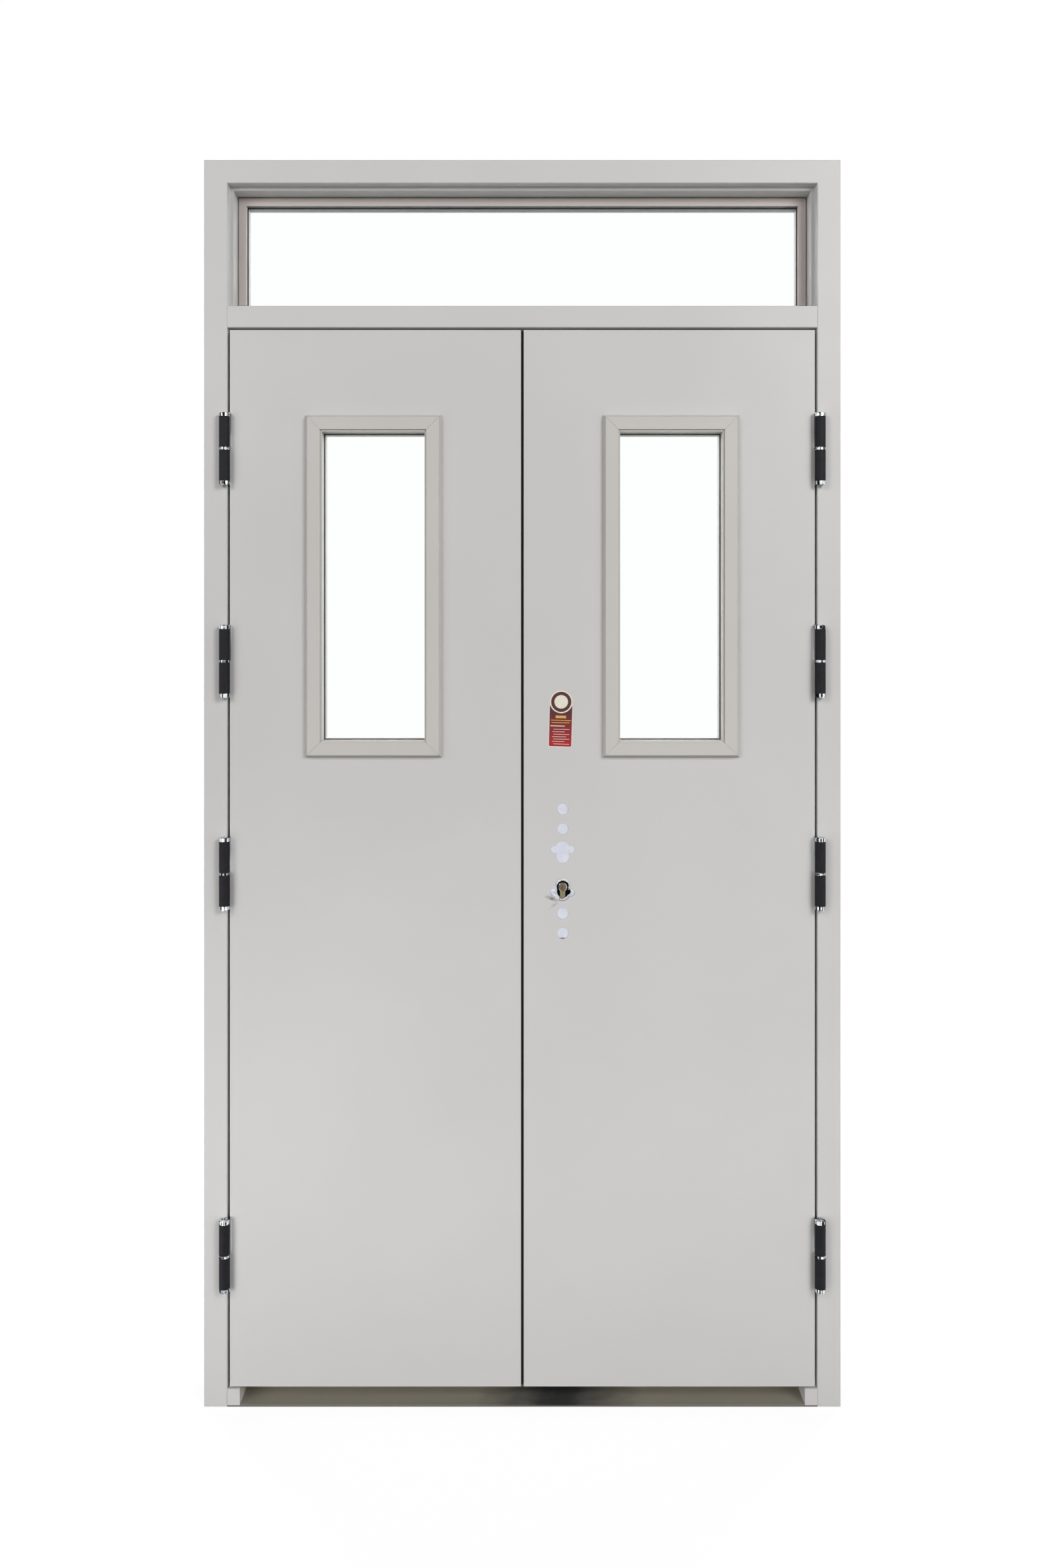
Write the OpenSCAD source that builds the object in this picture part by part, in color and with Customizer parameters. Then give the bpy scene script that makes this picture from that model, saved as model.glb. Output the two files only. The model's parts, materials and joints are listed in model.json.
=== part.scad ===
// Double-leaf fire rated steel door set with a glazed transom light over the leaves.
// Units are millimetres. X runs along the width, Y through the depth (the front faces -Y) and
// Z up. The origin is on the underside of the threshold, midway along it and midway through it.

/* [Frame] */
// Overall width of the frame
frame_w = 1226; // [1100:1:1400]
// Overall height of the frame
frame_h = 2400; // [2300:1:2600]
// Depth of the frame from its front face to its rear face
frame_depth = 100; // [96:1:140]
// Width of the flat face of each jamb and of the head
face_w = 45; // [38:1:60]
// Thickness of the folded frame sheet
frame_sheet = 1.5; // [1.2:0.1:2]
// Outside radius of each fold in the frame sheet
fold_r = 2; // [2:0.1:3]
// Depth of the first return behind the frame's face
lip_return = 22; // [20:0.5:26]
// Width of the narrow front-facing step in the rebate
step_w = 7; // [6:0.5:9]
// Depth from the frame's face to the stop that the leaves close on
stop_depth = 58; // [56:0.5:64]
// Width of the stop
stop_w = 17; // [15:0.5:20]
// Width of the edge that turns back along the wall at the front and rear of the frame
wall_return = 15; // [12:0.5:20]

/* [Transom light] */
// Clear height of the light between the faces of the transom bar and the head
light_h = 236; // [180:1:300]
// Height of the transom bar's flat face
bar_h = 42; // [36:1:60]
// Depth from the frame's face to the fixed stop behind the transom glass
glazing_depth = 75; // [73:0.5:80]
// Thickness of the transom glass
transom_glass_t = 6; // [5:0.5:8]
// Clearance round the edge of the transom glass
pane_clear = 3; // [2.5:0.5:6]
// Wall of the square glazing beads
bead_sheet = 1.2; // [1:0.1:1.6]
// Shadow gap between a glazing bead and the frame round it
bead_gap = 2; // [0.5:0.5:3]
// Height of the glazing stop that stands on the transom bar
low_stop_w = 15; // [12:0.5:17]
// Open seam along the back of the folded transom bar
bar_seam = 2; // [1:0.5:6]

/* [Threshold] */
// Thickness of the stainless tread
tread_t = 3; // [2:0.5:5]
// Wall of the box stop that stands on the tread
sill_wall = 1.5; // [1.2:0.1:2.5]

/* [Leaves] */
// Thickness of each leaf
leaf_t = 50; // [46:0.5:50]
// Height of the underside of the leaves above the floor
leaf_z = 39; // [30:1:50]
// Running gap between a leaf and the frame
run_gap = 5; // [5:0.5:7]
// Gap between the two leaves where they meet
meet_gap = 5.4; // [5.2:0.1:8]
// Depth of the wider front part of each leaf that laps the frame's step
lip_t = 17; // [14:0.5:17]
// Distance by which the meeting edges lean back over the leaf's thickness
meet_bevel = 3.5; // [3:0.5:6]
// Thickness of the leaf's steel skins
skin_t = 1.2; // [0.8:0.1:2]
// Overlap of the stops behind the leaf's edges
stop_lap = 12; // [8:1:12]

/* [Vision panels] */
// Width of the sight opening
sight_w = 199; // [150:1:240]
// Height of the sight opening
sight_h = 595; // [400:1:700]
// Distance from the middle of the doorway to the middle of each vision panel
sight_x = 286; // [270:1:300]
// Distance from the top of the leaves down to the middle of the vision panels
sight_drop = 493; // [440:1:560]
// Width of the trim round the sight opening
trim_w = 30.5; // [26:0.5:40]
// Distance that the trim stands proud of the leaf
trim_proud = 12; // [8:0.5:12]
// Width of the trim's sloping outer side
trim_slope = 5; // [3:0.5:8]
// Width and depth of the step on the trim's inner edge
trim_step = 4; // [3:0.5:5]
// Sheet thickness of the trim
trim_sheet = 1.5; // [1:0.1:2]
// Width of the joint where two mitred trim bars meet
mitre_joint = 0.4; // [0.2:0.1:1]
// Thickness of the fire glass in the leaves
sight_glass_t = 12; // [8:1:20]

/* [Hinges] */
// Height of the middle of the lowest hinge
hinge_low_z = 296; // [220:1:420]
// Distance from the top of the leaves down to the middle of the highest hinge
hinge_drop = 230; // [180:1:300]
// Spacing of the upper three hinges
hinge_pitch = 407; // [300:1:450]
// Overall length of a hinge
hinge_l = 139; // [120:1:160]
// Radius of the hinge knuckles
knuckle_r = 10.25; // [9.5:0.05:12]
// Clearance between a knuckle and the frame's face
knuckle_clear = 0.25; // [0.25:0.05:1]
// Radius of the hinge pin
pin_r = 6; // [5:0.25:7]
// Height of the washer ring between the knuckles
ring_h = 3.5; // [2:0.5:5]
// Height of the end caps
cap_h = 7; // [5:0.5:10]
// Thickness of the hinge plates let into the leaf's and the jamb's edges
plate_t = 2.2; // [1.8:0.1:3]
// Distance of the pin's axis from the inner edge of the jamb's face, over the jamb
pin_inset = 3; // [2:0.25:4]

/* [Lock] */
// Distance from the doorway's middle to the lock's axes
lock_x = 77.6; // [70:0.1:90]
// Height of the lever spindle's axis
spindle_z = 1072; // [1060:1:1085]
// Distance from the spindle down to the middle of the cylinder's opening
opening_pitch = 82.5; // [81:0.5:90]
// Distance from the spindle down to the cylinder's barrel
lock_centres = 72; // [70:0.5:74]
// Radius of the four handle fixing holes
fixing_r = 11; // [9:0.5:12]
// Spacing of the handle fixing holes in each pair
fixing_pitch = 38; // [34:1:46]
// Height of the middle of the upper pair of fixing holes
fixing_high_z = 1131; // [1128:1:1160]
// Height of the middle of the lower pair of fixing holes
fixing_low_z = 930; // [900:1:932]
// Thickness of the lock case
case_t = 14; // [12:0.5:18]
// Height of the lock case
case_h = 130; // [120:1:130]
// Distance from the lock's axes to the back of the lock case
case_back = 24; // [20:1:30]
// Width of the lock's face plate
forend_w = 24; // [20:1:26]
// Length of the lock's face plate
forend_h = 235; // [190:1:240]
// Thickness of the face plate and of the strike plate
forend_t = 3; // [2:0.5:4]
// Width of a flush bolt's face plate
bolt_plate_w = 24; // [24:0.5:28]
// Length of a flush bolt's face plate
bolt_plate_h = 180; // [120:1:250]
// Distance from the leaf's end to the flush bolt's plate
bolt_end = 40; // [30:1:80]
// Radius of the flush bolt's rod
rod_r = 5; // [4:0.25:5]
// Height of the latch
latch_h = 20; // [16:0.5:22]
// Height of the deadbolt
dead_h = 32; // [26:0.5:32]
// Width of the latch and the deadbolt
bolt_t = 10; // [8:0.25:10]

/* [Wall anchors] */
// Height of the middle of the lowest anchor strap
anchor_low = 300; // [200:1:500]
// Distance from the top of the frame down to the middle of the highest anchor strap
anchor_drop = 500; // [400:1:700]
// Height of an anchor strap
strap_h = 40; // [30:1:60]
// Thickness of an anchor strap
strap_t = 3; // [2:0.5:5]
// Radius of the anchor bolt holes
anchor_r = 5.5; // [4:0.25:7]
// Spacing of the two bolt holes in a strap
anchor_pitch = 36; // [30:1:50]

/* [Hidden] */

$fn = 48;
paint = [0.80, 0.79, 0.78];
trim_paint = [0.79, 0.77, 0.75];
steel = [0.62, 0.62, 0.62];
dark = [0.15, 0.15, 0.18];
board = [0.85, 0.82, 0.72];
pane = [0.75, 0.86, 0.84, 0.4];
brass_look = [0.72, 0.66, 0.5];

// Small gap left where a piece is seated in or beside another
seat = 0.3;
// Running clearance of the pin in its bore
pin_clear = 0.1;
// Straight chords that make up a fold's quarter circle
fold_steps = 4;
// Overshoot of a cut past the face that it opens
over = 1;

half_w = frame_w / 2;
bar_z = frame_h - face_w - light_h - bar_h;
rebate_x = half_w - face_w;
step_x = rebate_x - step_w;
stop_x = step_x - stop_w;

// Leaf edges: the front part reaches the lip edge, the rear part stops short of it
lip_x = rebate_x - run_gap;
back_x = step_x - run_gap;
meet_x = meet_gap / 2;
lip_top = bar_z - run_gap;
back_top = bar_z - step_w - run_gap;
sill_stop_z = leaf_z + stop_lap;
foot_top = leaf_z - run_gap;

pin_x = rebate_x + pin_inset;
pin_y = -(knuckle_r + knuckle_clear);
knuckle_h = (hinge_l - ring_h) / 2;
hinge_high_z = lip_top - hinge_drop;
sight_z = lip_top - sight_drop;
hinge_z = [hinge_low_z, hinge_high_z - 2 * hinge_pitch, hinge_high_z - hinge_pitch, hinge_high_z];

// Height at which the jamb changes from the door section to the glazing section
split_z = bar_z + bar_h / 2;
transom_low = bar_z + bar_h;
transom_high = frame_h - face_w - step_w;
transom_glass_y = glazing_depth - seat - transom_glass_t;

glass_front = (leaf_t - sight_glass_t) / 2;
leg_w = trim_step + trim_sheet + trim_sheet;
cut_w = sight_w + 2 * (leg_w + seat);
cut_h = sight_h + 2 * (leg_w + seat);

seal_t = 3;
seal_w = 10;
seal_margin = (stop_lap - seal_w) / 2 + 1;
seal_over = 2;

anchor_z = [anchor_low, (anchor_low + frame_h - anchor_drop) / 2, frame_h - anchor_drop];

// Hinge plates stop short of the leaf's front part; the knuckles end in shallow domes
plate_depth = lip_t - 1;
plate_root = 2;
dome_w = 3;
dome_h = 2;
groove_t = 0.5;
groove_w = 0.8;

// Clover openings of the lock preparation: two lobes and a pair of ears
lobe_up_r = 13.8;
lobe_up = 2.7;
lobe_down_r = 13.3;
lobe_down = 13.1;
ear_r = 7.5;
ear_x = 16;

// Profile cylinder: barrel radius, half the leg's width and the drop of the leg's round end
barrel_r = 8.5;
leg_r = 5;
leg_drop = 19.5;
barrel_short = 1;

// Lock works: heights of the bolts, their depth and the hub round the spindle
meet_lean = atan(meet_bevel / leaf_t);
opening_z = spindle_z - opening_pitch;
barrel_z = spindle_z - lock_centres;
lock_mid_z = (spindle_z + opening_z) / 2;
latch_z = spindle_z + 8;
dead_z = lock_mid_z - 6;
bolt_in = 24;
hub_r = 10;
hub_proud = 3;
spindle_w = 8;
latch_nose = 4;
strike_in = 22;

// Flush bolts: the rod runs behind the frame's front return
bolt_plate_z = [leaf_z + bolt_end + bolt_plate_h / 2, back_top - bolt_end - bolt_plate_h / 2];
rod_y = lip_return + fold_r + rod_r + 1;
rod_x = meet_x + 14;
works_w = 2 * (rod_y + rod_r - leaf_t / 2 + 0.5);
works_h = bolt_plate_h - 30;
works_in = 22;
keeper_clear = 0.6;
keeper_in = 2;
lever_slot_w = 10;
lever_slot_h = 60;
lever_slot_in = 9;

// Moves a shape from the front-face plane to the frame's middle plane
module from_front() {
    translate([0, -frame_depth / 2, 0]) children();
}

// Makes the left-hand piece, or its mirror image on the right
module on_side(side) {
    if (side == "left") children();
    else mirror([1, 0, 0]) children();
}

// Unit vector to the left of the line from a to b
function left_of(a, b) = [a.y - b.y, b.x - a.x] / norm(b - a);

// Point i of a path after the whole path is moved sideways by t
function shifted(path, i, t) =
    let (last = len(path) - 1)
    let (before = left_of(path[max(i - 1, 0)], path[max(i, 1)]))
    let (after = left_of(path[min(i, last - 1)], path[min(i + 1, last)]))
    path[i] + t * (before + after) / (1 + before * after);

// A path with each of its square corners rounded to radius r
function folded(path, r) = [
    for (i = [0:len(path) - 1])
        if (i == 0 || i == len(path) - 1) path[i]
        else let (p = path[i])
            let (a = (path[i - 1] - p) / norm(path[i - 1] - p))
            let (b = (path[i + 1] - p) / norm(path[i + 1] - p))
            for (k = [0:fold_steps])
                p + r * (1 - sin(90 * k / fold_steps)) * a + r * (1 - cos(90 * k / fold_steps)) * b
];

// Outline of a sheet of thickness t whose outer surface follows the path
function sheet_outline(path, t) = concat(
    path, [for (i = [len(path) - 1:-1:0]) shifted(path, i, t)]);

// Section of a jamb or of the head: x counts inward from the wall, y backward from the face
function member_path(stop_y) = folded([
    [0, wall_return], [0, 0], [face_w, 0], [face_w, lip_return],
    [face_w + step_w, lip_return], [face_w + step_w, stop_y],
    [face_w + step_w + stop_w, stop_y], [face_w + step_w + stop_w, frame_depth],
    [0, frame_depth], [0, frame_depth - wall_return]], fold_r);

// Section of the transom bar: x counts upward from its lower face edge
function bar_path() = let (out = step_w + stop_w) folded([
    [(bar_h - bar_seam) / 2, frame_depth], [-out, frame_depth], [-out, stop_depth],
    [-step_w, stop_depth], [-step_w, lip_return], [0, lip_return], [0, 0],
    [bar_h, 0], [bar_h, glazing_depth], [bar_h + low_stop_w, glazing_depth],
    [bar_h + low_stop_w, frame_depth], [(bar_h + bar_seam) / 2, frame_depth]], fold_r);

// A left jamb's section as folded sheet or, for coping, as a filled block
module jamb_section(stop_y, filled) {
    path = member_path(stop_y);
    translate([-half_w, 0]) polygon(filled ? path : sheet_outline(path, frame_sheet));
}

// Mitre plane between jamb and head: the region above it, or the one below it
module mitre_waste(above) {
    reach = face_w + step_w + stop_w + 20;
    far = above ? over : -2 * reach;
    translate([-half_w, frame_depth + over, frame_h]) rotate([90, 0, 0])
        linear_extrude(frame_depth + 2 * over)
            polygon([[-over, over], [reach, -reach], [above ? reach : -over, far],
                [-over, above ? over + 1 : far]]);
}

module left_jamb_block(filled = false) {
    linear_extrude(split_z) jamb_section(stop_depth, filled);
    translate([0, 0, split_z]) linear_extrude(frame_h - split_z)
        jamb_section(glazing_depth, filled);
}

module jamb(side) {
    color(paint) from_front() on_side(side) difference() {
        left_jamb_block();
        mitre_waste(above = true);
        for (z = hinge_z) hinge_notch(z);
    }
}

// Slot in the jamb's edge that takes the fixed hinge plate
module hinge_notch(z) {
    translate([-rebate_x - plate_t, -over, z - hinge_l / 2 - seat])
        cube([plate_t + over, plate_depth + seat + over, knuckle_h - seat + 2 * seat]);
}

module both_jambs_filled() {
    left_jamb_block(filled = true);
    mirror([1, 0, 0]) left_jamb_block(filled = true);
}

module frame_head() {
    color(paint) from_front() difference() {
        translate([-half_w, 0, frame_h]) rotate([0, 90, 0]) linear_extrude(frame_w)
            polygon(sheet_outline(member_path(glazing_depth), frame_sheet));
        mitre_waste(above = false);
        mirror([1, 0, 0]) mitre_waste(above = false);
    }
}

module transom_bar() {
    color(paint) from_front() difference() {
        translate([rebate_x, 0, bar_z]) rotate([0, -90, 0]) linear_extrude(2 * rebate_x)
            polygon(sheet_outline(bar_path(), frame_sheet));
        both_jambs_filled();
        keeper_hole(bar_z - step_w - over);
    }
}

// Hole from height z upward for a flush bolt's rod
module keeper_hole(z) {
    translate([-rod_x, rod_y, z])
        cylinder(r = rod_r + keeper_clear, h = tread_t + 2 * over);
}

module threshold() {
    color(steel) from_front() difference() {
        translate([-rebate_x, 0, 0]) rotate([90, 0, 90]) linear_extrude(2 * rebate_x) {
            square([frame_depth, tread_t]);
            difference() {
                translate([stop_depth, 0]) square([frame_depth - stop_depth, sill_stop_z]);
                translate([stop_depth + sill_wall, tread_t])
                    square([frame_depth - stop_depth - 2 * sill_wall,
                        sill_stop_z - tread_t - sill_wall]);
            }
        }
        both_jambs_filled();
        keeper_hole(tread_t - keeper_in);
    }
}

// Painted block that closes the foot of the rebate beside the tread
module foot_block(side) {
    color(paint) from_front() on_side(side) difference() {
        translate([-rebate_x, 0, tread_t])
            cube([rebate_x - stop_x, stop_depth - seat, foot_top - tread_t]);
        left_jamb_block(filled = true);
    }
}

module transom_glass() {
    color(pane) from_front()
        translate([-step_x + pane_clear, transom_glass_y, transom_low + pane_clear])
            cube([2 * (step_x - pane_clear), transom_glass_t,
                transom_high - transom_low - 2 * pane_clear]);
}

// Glazing bead along Z: a square tube of length l that shows a face of width w
module bead_tube(l, w) {
    depth = transom_glass_y - stop_depth - seat;
    linear_extrude(l) difference() {
        square([w, depth]);
        translate([bead_sheet, bead_sheet])
            square([w - 2 * bead_sheet, depth - 2 * bead_sheet]);
    }
}

// Beads in front of the transom glass: long ones below and above, short ones between them
module transom_beads() {
    outer_x = step_x - bead_gap;
    bead_w = stop_w - bead_gap;
    low_top = transom_low + low_stop_w;
    rise = transom_high - stop_w - low_top - 2 * seat;
    color(trim_paint) from_front() translate([0, stop_depth, 0]) {
        translate([-outer_x, 0, low_top]) rotate([0, 90, 0])
            bead_tube(2 * outer_x, low_stop_w - bead_gap);
        translate([-outer_x, 0, transom_high - bead_gap]) rotate([0, 90, 0])
            bead_tube(2 * outer_x, bead_w);
        for (x = [-outer_x, outer_x - bead_w])
            translate([x, 0, low_top + seat]) bead_tube(rise, bead_w);
    }
}

// Smoke seal on the stop's front face, all round the doorway
module frame_seal() {
    outer_x = back_x + seal_over - seal_margin;
    outer_top = back_top + seal_over - seal_margin;
    outer_low = leaf_z + seal_margin - seal_over;
    color(dark) from_front()
        translate([0, stop_depth - seal_t, 0]) difference() {
            translate([-outer_x, 0, outer_low])
                cube([2 * outer_x, seal_t, outer_top - outer_low]);
            translate([-outer_x + seal_w, -over, outer_low + seal_w])
                cube([2 * (outer_x - seal_w), seal_t + 2 * over,
                    outer_top - outer_low - 2 * seal_w]);
        }
}

// Straps welded inside the jamb's open back, bolted through into the wall
module wall_anchors(side) {
    color(steel) from_front() on_side(side) for (z = anchor_z)
        translate([-half_w + frame_sheet, fold_r, z - strap_h / 2]) difference() {
            cube([strap_t, frame_depth - 2 * fold_r, strap_h]);
            for (way = [-1, 1])
                translate([-over, frame_depth / 2 - fold_r + way * anchor_pitch / 2, strap_h / 2])
                    rotate([0, 90, 0]) cylinder(r = anchor_r, h = strap_t + 2 * over);
        }
}

// Distance from the doorway's middle to the meeting edge at depth y
function meet_at(y) = meet_x + meet_bevel * y / leaf_t;

// Front part of the left leaf's block, with every face moved in by inset
module leaf_front(inset = 0) {
    translate([0, 0, leaf_z + inset]) linear_extrude(lip_top - leaf_z - 2 * inset)
        polygon([[-lip_x + inset, inset], [-meet_at(inset) - inset, inset],
            [-meet_at(lip_t - inset) - inset, lip_t - inset], [-lip_x + inset, lip_t - inset]]);
}

// Narrower rear part of the left leaf's block
module leaf_back(inset = 0) {
    translate([0, 0, leaf_z + inset]) linear_extrude(back_top - leaf_z - 2 * inset)
        polygon([[-back_x + inset, lip_t - inset], [-meet_at(lip_t - inset) - inset, lip_t - inset],
            [-meet_at(leaf_t - inset) - inset, leaf_t - inset],
            [-back_x + inset, leaf_t - inset]]);
}

// Opening through the leaf for the glass and its trims
module sight_cut() {
    translate([-sight_x - cut_w / 2, -over, sight_z - cut_h / 2])
        cube([cut_w, leaf_t + 2 * over, cut_h]);
}

// Clover-shaped opening in the skins round the spindle and the cylinder
module lock_opening() {
    rotate([-90, 0, 0]) translate([0, 0, -over]) linear_extrude(leaf_t + 2 * over) {
        translate([0, -lobe_up]) circle(r = lobe_up_r);
        translate([0, lobe_down]) circle(r = lobe_down_r);
        for (x = [-ear_x, ear_x]) translate([x, 0]) circle(r = ear_r);
    }
}

// Everything that the handle and the lock take out of the right leaf, drawn for a left leaf
module lock_holes() {
    translate([-lock_x, 0, spindle_z]) lock_opening();
    translate([-lock_x, 0, opening_z]) mirror([0, 0, 1]) lock_opening();
    for (z = [fixing_high_z, fixing_low_z], way = [-1, 1])
        translate([-lock_x, -over, z + way * fixing_pitch / 2]) rotate([-90, 0, 0])
            cylinder(r = fixing_r, h = leaf_t + 2 * over);
}

// A plate let into a meeting edge: x is its thickness inward from the edge's surface
module edge_plate(w, h, t, z, grow = 0) {
    translate([-meet_x, 0, z]) rotate([0, 0, meet_lean])
        translate([-t - grow, leaf_t / 2 - w / 2 - grow, -h / 2 - grow])
            cube([t + grow + (grow > 0 ? over : 0), w + 2 * grow, h + 2 * grow]);
}

// The lock case's body behind its face plate
module case_body(grow = 0) {
    front_x = meet_at(leaf_t / 2) + forend_t;
    translate([-lock_x - case_back - grow, leaf_t / 2 - case_t / 2 - grow,
        lock_mid_z - case_h / 2 - grow])
        cube([lock_x + case_back - front_x + grow, case_t + 2 * grow, case_h + 2 * grow]);
}

// Slots in the leaf's hinge edge for the moving hinge plates
module leaf_plate_slots() {
    for (z = hinge_z)
        translate([-lip_x - over, -over, z + hinge_l / 2 - knuckle_h - seat])
            cube([plate_t + over, plate_depth + seat + over, knuckle_h + 2 * seat]);
}

// What is cut from one leaf: the left leaf has the strike and bolts, the right leaf the lock
module leaf_cuts(side) {
    sight_cut();
    leaf_plate_slots();
    if (side == "right") {
        lock_holes();
        edge_plate(forend_w, forend_h, forend_t, lock_mid_z, seat);
        case_body(seat);
    } else {
        edge_plate(forend_w, forend_h, forend_t, lock_mid_z, seat);
        for (z = bolt_plate_z)
            edge_plate(bolt_plate_w, bolt_plate_h, forend_t, z, seat);
        for (top = [false, true])
            bolt_works(top, seat);
        strike_box(seat);
    }
}

// Works of a flush bolt behind its plate, with the rod that ends level with the leaf's end
module bolt_works(top, grow = 0) {
    z = bolt_plate_z[top ? 1 : 0];
    rod_from = top ? z : leaf_z - grow;
    rod_to = top ? back_top + grow : z;
    edge_plate(works_w, works_h, works_in, z, grow);
    translate([-rod_x, rod_y, rod_from])
        cylinder(r = rod_r + grow, h = rod_to - rod_from);
}

// Space inside the leaf's skins
module leaf_inside() {
    leaf_front(skin_t);
    leaf_back(skin_t);
}

module front_skin(side) {
    color(paint) from_front() on_side(side) difference() {
        leaf_front();
        leaf_inside();
        leaf_cuts(side);
    }
}

module rear_skin(side) {
    color(paint) from_front() on_side(side) difference() {
        leaf_back();
        leaf_inside();
        leaf_cuts(side);
    }
}

module core(side) {
    color(board) from_front() on_side(side) difference() {
        leaf_inside();
        leaf_cuts(side);
    }
}

// Section of the vision trim: x counts outward from the sight edge, y backward from the leaf
function trim_path() = [
    [trim_w, 0], [trim_w - trim_slope, -trim_proud], [trim_step, -trim_proud],
    [trim_step, trim_step - trim_proud], [0, trim_step - trim_proud], [0, glass_front - seat]];

// One trim bar along Z with both ends mitred, for an opening w wide and h high. The four bars
// of a frame meet with a hairline joint.
module trim_bar(w, h) {
    reach = trim_w + over;
    half_h = h / 2 - mitre_joint / 2;
    intersection() {
        translate([w / 2, 0, -h / 2 - reach]) linear_extrude(h + 2 * reach)
            polygon(sheet_outline(trim_path(), trim_sheet));
        rotate([90, 0, 0]) linear_extrude(4 * leaf_t, center = true)
            polygon([[w / 2 - over, over - half_h], [w / 2 + reach, -half_h - reach],
                [w / 2 + reach, half_h + reach], [w / 2 - over, half_h - over]]);
    }
}

// The four mitred bars of a vision trim
module vision_trim() {
    translate([-sight_x, 0, sight_z]) for (turn = [0, 180]) rotate([0, turn, 0]) {
        trim_bar(sight_w, sight_h);
        rotate([0, 90, 0]) trim_bar(sight_h, sight_w);
    }
}

module front_trim(side) {
    color(trim_paint) from_front() on_side(side) vision_trim();
}

module rear_trim(side) {
    color(trim_paint) from_front() on_side(side)
        translate([0, leaf_t, 0]) mirror([0, 1, 0]) vision_trim();
}

module sight_glass(side) {
    rim = trim_step;
    color(pane) from_front() on_side(side)
        translate([-sight_x - sight_w / 2 - rim, glass_front, sight_z - sight_h / 2 - rim])
            cube([sight_w + 2 * rim, sight_glass_t, sight_h + 2 * rim]);
}

// Pocket behind the strike plate for the lock's bolts
module strike_box(grow = 0) {
    front_x = meet_at(leaf_t / 2) + forend_t;
    translate([-front_x - strike_in - grow, leaf_t / 2 - case_t / 2 - grow,
        lock_mid_z - case_h / 2 - grow])
        cube([strike_in + 2 * grow, case_t + 2 * grow, case_h + 2 * grow]);
}

// Space along the edge for the latch and the deadbolt, in the strike and in the lock case
module bolt_slots(grow) {
    for (bolt = [[latch_z, latch_h], [dead_z, dead_h]])
        translate([-meet_x - bolt_in - grow, leaf_t / 2 - bolt_t / 2 - grow,
            bolt[0] - bolt[1] / 2 - grow])
            cube([bolt_in + grow + over, bolt_t + 2 * grow, bolt[1] + 2 * grow]);
}

module left_strike_plate() {
    color(steel) from_front() difference() {
        union() {
            edge_plate(forend_w, forend_h, forend_t, lock_mid_z);
            strike_box();
        }
        bolt_slots(1);
    }
}

module left_flush_bolts() {
    color(steel) from_front() for (top = [false, true]) difference() {
        z = bolt_plate_z[top ? 1 : 0];
        union() {
            edge_plate(bolt_plate_w, bolt_plate_h, forend_t, z);
            bolt_works(top);
        }
        translate([-meet_x - lever_slot_in, leaf_t / 2 - lever_slot_w / 2, z - lever_slot_h / 2])
            cube([lever_slot_in + over, lever_slot_w, lever_slot_h]);
    }
}

// Lock case with its face plate, its spindle hub and its profile cylinder hole
module right_lock_case() {
    color(steel) from_front() mirror([1, 0, 0]) difference() {
        union() {
            edge_plate(forend_w, forend_h, forend_t, lock_mid_z);
            case_body();
            translate([-lock_x, leaf_t / 2 - case_t / 2 - hub_proud, spindle_z])
                rotate([-90, 0, 0]) cylinder(r = hub_r, h = case_t + 2 * hub_proud);
        }
        translate([-lock_x - spindle_w / 2, 0, spindle_z - spindle_w / 2])
            cube([spindle_w, leaf_t, spindle_w]);
        translate([-lock_x, 0, barrel_z]) cylinder_shape(leaf_t, seat);
        bolt_slots(seat);
    }
}

// Latch with its slanted nose, and deadbolt, both drawn back level with the face plate
module right_lock_bolts() {
    front = meet_at(leaf_t / 2 + bolt_t / 2);
    back = meet_x + bolt_in;
    near_y = leaf_t / 2 - bolt_t / 2;
    color(steel) from_front() mirror([1, 0, 0]) {
        translate([0, 0, latch_z - latch_h / 2]) linear_extrude(latch_h)
            polygon([[-back, near_y], [-front, near_y], [-front, near_y + bolt_t / 3],
                [-front - latch_nose, near_y + bolt_t], [-back, near_y + bolt_t]]);
        translate([-back, near_y, dead_z - dead_h / 2])
            cube([back - front, bolt_t, dead_h]);
    }
}

// Profile cylinder: a round barrel with a flat-sided leg below it
module cylinder_shape(l, grow = 0) {
    rotate([-90, 0, 0]) linear_extrude(l) {
        circle(r = barrel_r + grow);
        translate([0, leg_drop]) circle(r = leg_r + grow);
        translate([-leg_r - grow, 0]) square([2 * (leg_r + grow), leg_drop]);
    }
}

module right_lock_cylinder() {
    color(brass_look) from_front() mirror([1, 0, 0])
        translate([-lock_x, barrel_short, barrel_z]) cylinder_shape(leaf_t - 2 * barrel_short);
}

// Round body of a knuckle, domed at its outer end, which is at z = 0
function knuckle_profile() = [
    [0, 0], [knuckle_r - dome_w, 0], [knuckle_r - dome_w / 3, dome_h / 3], [knuckle_r, dome_h],
    [knuckle_r, cap_h - groove_w / 2], [knuckle_r - groove_t, cap_h - groove_w / 2],
    [knuckle_r - groove_t, cap_h + groove_w / 2], [knuckle_r, cap_h + groove_w / 2],
    [knuckle_r, knuckle_h], [0, knuckle_h]];

// Fixed half of a left hinge: lower knuckle, washer ring, pin and the plate on the jamb
module hinge_frame_half(side, n) {
    z0 = hinge_z[n - 1] - hinge_l / 2;
    color(dark) from_front() on_side(side) {
        translate([-pin_x, pin_y, z0]) {
            rotate_extrude() polygon(knuckle_profile());
            cylinder(r = knuckle_r - 1, h = knuckle_h + ring_h - seat);
            cylinder(r = pin_r, h = hinge_l - cap_h - seat);
        }
        translate([-rebate_x - plate_t, pin_y + knuckle_r - plate_root, z0])
            cube([plate_t, plate_depth - pin_y - knuckle_r + plate_root, knuckle_h]);
    }
}

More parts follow.
